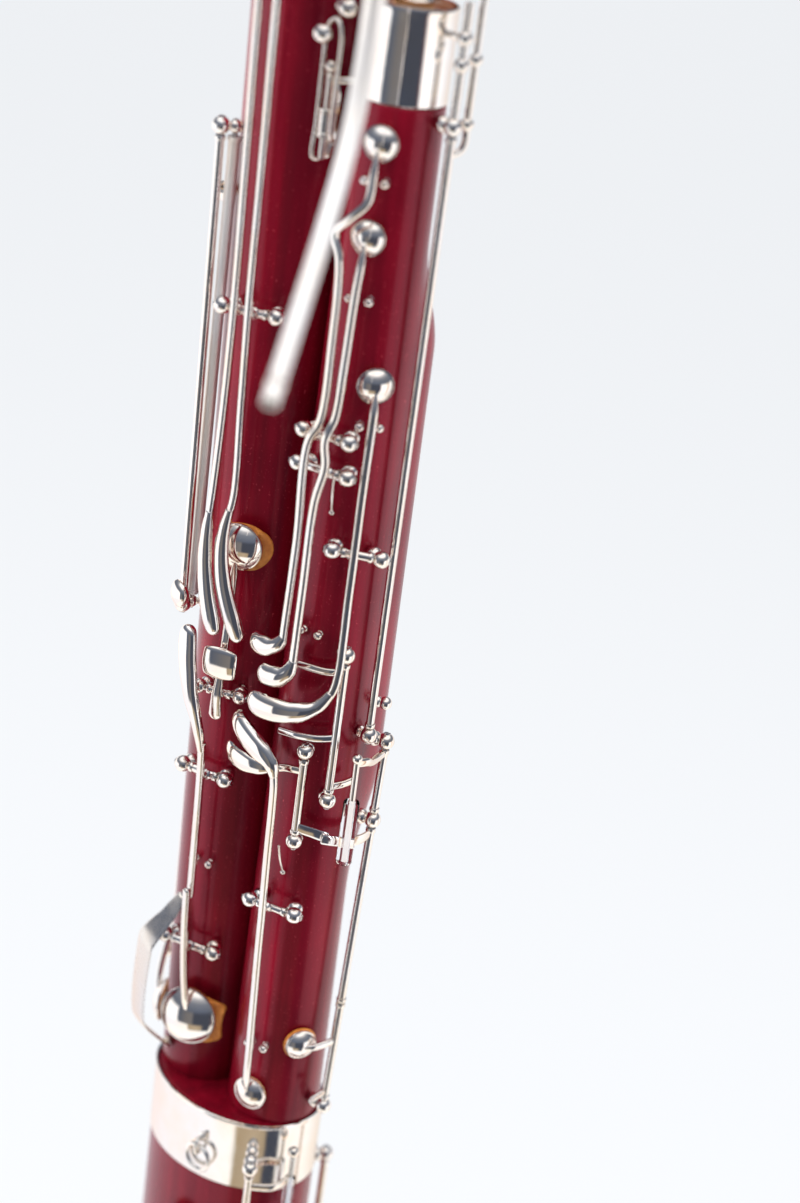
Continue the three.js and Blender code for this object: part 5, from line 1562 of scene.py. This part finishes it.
CAMERA_AZIMUTH = 35.682
CAMERA_ELEVATION = 24.316
CAMERA_ROLL = 8.053
CAMERA_DISTANCE = 837.0
AIM = Vector((48.386, 0, 681.333))
SENSOR = 36.0
LENS = 67.75
FLOOR_HALF = 6.0
FLOOR_DROP = 0.0005


def towards(azimuth, elevation):
    """The direction from the aim to something that stands at an azimuth and an elevation."""
    cos_a, sin_a = turning(azimuth)
    cos_e, sin_e = turning(elevation)
    return Vector((sin_a * cos_e, -cos_a * cos_e, sin_e))


def make_floor():
    mesh = bpy.data.meshes.new("studio_floor")
    corners = [(x * FLOOR_HALF, y * FLOOR_HALF, 0) for x, y in ((-1, -1), (1, -1), (1, 1), (-1, 1))]
    mesh.from_pydata(corners, [], [(0, 1, 2, 3)])
    material = start_material("pale_floor", {
        "Base Color": (0.16, 0.16, 0.165, 1), "Roughness": 0.9, "Specular IOR Level": 0.0,
        "Emission Color": (0.78, 0.80, 0.82, 1), "Emission Strength": 0.95,
    })[0]
    mesh.materials.append(material)
    floor = add_object("studio_floor", mesh)
    floor.location.z = -FLOOR_DROP
    floor.visible_glossy = False


# What polished silver shows of the studio: colours at degrees round from the camera, at eye level
# and low down, and colours of the ceiling from 0 straight down to 1 straight up.
BRIGHT, SLATE, SMOKE = (1.22, 1.22, 1.24), (0.062, 0.070, 0.095), (0.17, 0.165, 0.17)
CREAM, TAN, BROWN = (1.12, 1.09, 1.04), (0.42, 0.33, 0.22), (0.55, 0.36, 0.26)
BEHIND, BEHIND_LOW = (0.80, 0.80, 0.82), (0.85, 0.84, 0.84)
WALLS = [
    (-180, BEHIND), (-150, BRIGHT), (-54, BRIGHT), (-50, (0.09, 0.11, 0.16)), (-38, (0.13, 0.14, 0.17)),
    (-28, SMOKE), (-12, (0.20, 0.19, 0.19)), (-6, SLATE), (38, SLATE), (42, (0.12, 0.04, 0.05)),
    (47, BRIGHT), (76, BRIGHT), (84, (1.1, 0.86, 0.68)), (90, BROWN), (95, BRIGHT),
    (125, (0.95, 0.94, 0.97)), (180, BEHIND),
]
LOW_WALLS = [
    (-180, BEHIND_LOW), (-150, (1.02, 0.99, 1.05)), (-60, (1.05, 1.03, 1.08)), (-24, CREAM), (-20, TAN),
    (0, (0.50, 0.40, 0.28)), (16, TAN), (20, SLATE), (38, SLATE), (42, CREAM), (84, CREAM), (90, BROWN),
    (95, CREAM), (180, BEHIND_LOW),
]
CEILING = [
    (0.5, (0.085, 0.10, 0.145)), (0.60, (0.12, 0.14, 0.19)), (0.76, (0.19, 0.21, 0.26)),
    (0.84, (0.42, 0.43, 0.47)), (0.90, (1.15, 1.15, 1.17)), (1.0, (1.2, 1.2, 1.2)),
]
PAPER = (1.15, 1.13, 1.10, 1)
BACKDROP = (0.855, 0.875, 0.895, 1)


def make_world():
    """A studio for reflections, and an even pale backdrop for the camera."""
    world = bpy.data.worlds.new("studio")
    bpy.context.scene.world = world
    world.use_nodes = True
    tree = world.node_tree
    tree.nodes.clear()
    direction = node(tree, "ShaderNodeTexCoord").outputs["Generated"]
    cos, sin = turning(CAMERA_AZIMUTH)

    def along(vector):
        dot = node(tree, "ShaderNodeVectorMath", operation="DOT_PRODUCT")
        dot.inputs[1].default_value = vector
        tree.links.new(direction, dot.inputs[0])
        return dot.outputs["Value"]

    turn = node(tree, "ShaderNodeMath", operation="ARCTAN2")
    tree.links.new(along((cos, sin, 0)), turn.inputs[0])
    tree.links.new(along((sin, -cos, 0)), turn.inputs[1])
    share = map_range(tree, turn.outputs["Value"], -math.pi, math.pi)
    walls, low_walls = (
        colour_ramp(tree, share, [((degrees + 180) / 360, colour) for degrees, colour in strips])
        for strips in (WALLS, LOW_WALLS)
    )
    height = along(UP)
    ceiling = colour_ramp(tree, map_range(tree, height, -1.0, 1.0), CEILING)
    sinking = map_range(tree, height, -0.44, -0.56, kind="SMOOTHSTEP")
    room = mix_colours(tree, sinking, walls, low_walls)
    room = mix_colours(tree, map_range(tree, height, 0.0, 0.22, kind="SMOOTHSTEP"), room, ceiling)
    room = mix_colours(tree, map_range(tree, height, -0.70, -0.78, kind="SMOOTHSTEP"), room, PAPER)
    studio = node(tree, "ShaderNodeBackground", Strength=1.0)
    tree.links.new(room, studio.inputs["Color"])
    backdrop = node(tree, "ShaderNodeBackground", Strength=1.0, Color=BACKDROP)
    path = node(tree, "ShaderNodeLightPath")
    choice = node(tree, "ShaderNodeMixShader")
    output = node(tree, "ShaderNodeOutputWorld")
    tree.links.new(path.outputs["Is Camera Ray"], choice.inputs["Fac"])
    tree.links.new(studio.outputs["Background"], choice.inputs[1])
    tree.links.new(backdrop.outputs["Background"], choice.inputs[2])
    tree.links.new(choice.outputs["Shader"], output.inputs["Surface"])


def make_softbox(name, azimuth, elevation, distance, size, watts):
    """A rectangular light aimed at the aim; distance and size are in metres."""
    light = bpy.data.lights.new(name, "AREA")
    light.shape = "RECTANGLE"
    light.size, light.size_y = size
    light.energy = watts
    holder = add_object(name, light)
    back = towards(azimuth, elevation)
    holder.location = AIM * MM + back * distance
    holder.rotation_mode = "QUATERNION"
    holder.rotation_quaternion = (-back).to_track_quat("-Z", "Y")
    holder.visible_glossy = False


def make_camera():
    camera = bpy.data.cameras.new("camera")
    holder = add_object("camera", camera)
    back = towards(CAMERA_AZIMUTH, CAMERA_ELEVATION)
    right = towards(CAMERA_AZIMUTH + 90, 0)
    up = back.cross(right)
    cos, sin = turning(CAMERA_ROLL)
    turn = Matrix((right * cos + up * sin, up * cos - right * sin, back)).transposed()
    holder.matrix_world = Matrix.Translation((AIM + back * CAMERA_DISTANCE) * MM) @ turn.to_4x4()
    camera.sensor_width = SENSOR
    camera.lens = LENS
    camera.clip_start = 0.01
    focus = add_object("focus", None)
    focus.location = site(WING, 600, 10, 13) * MM
    camera.dof.use_dof = True
    camera.dof.focus_object = focus
    camera.dof.aperture_fstop = 4.2
    bpy.context.scene.camera = holder


make_floor()
make_world()
make_softbox("left_softbox", CAMERA_AZIMUTH - 75, 25, 1.5, (1.2, 1.6), 26)
make_softbox("right_softbox", CAMERA_AZIMUTH + 80, 15, 1.5, (0.8, 1.6), 18)
make_softbox("top_softbox", CAMERA_AZIMUTH + 10, 75, 1.6, (1.4, 1.4), 14)
make_camera()
bpy.context.scene.view_settings.view_transform = "Standard"
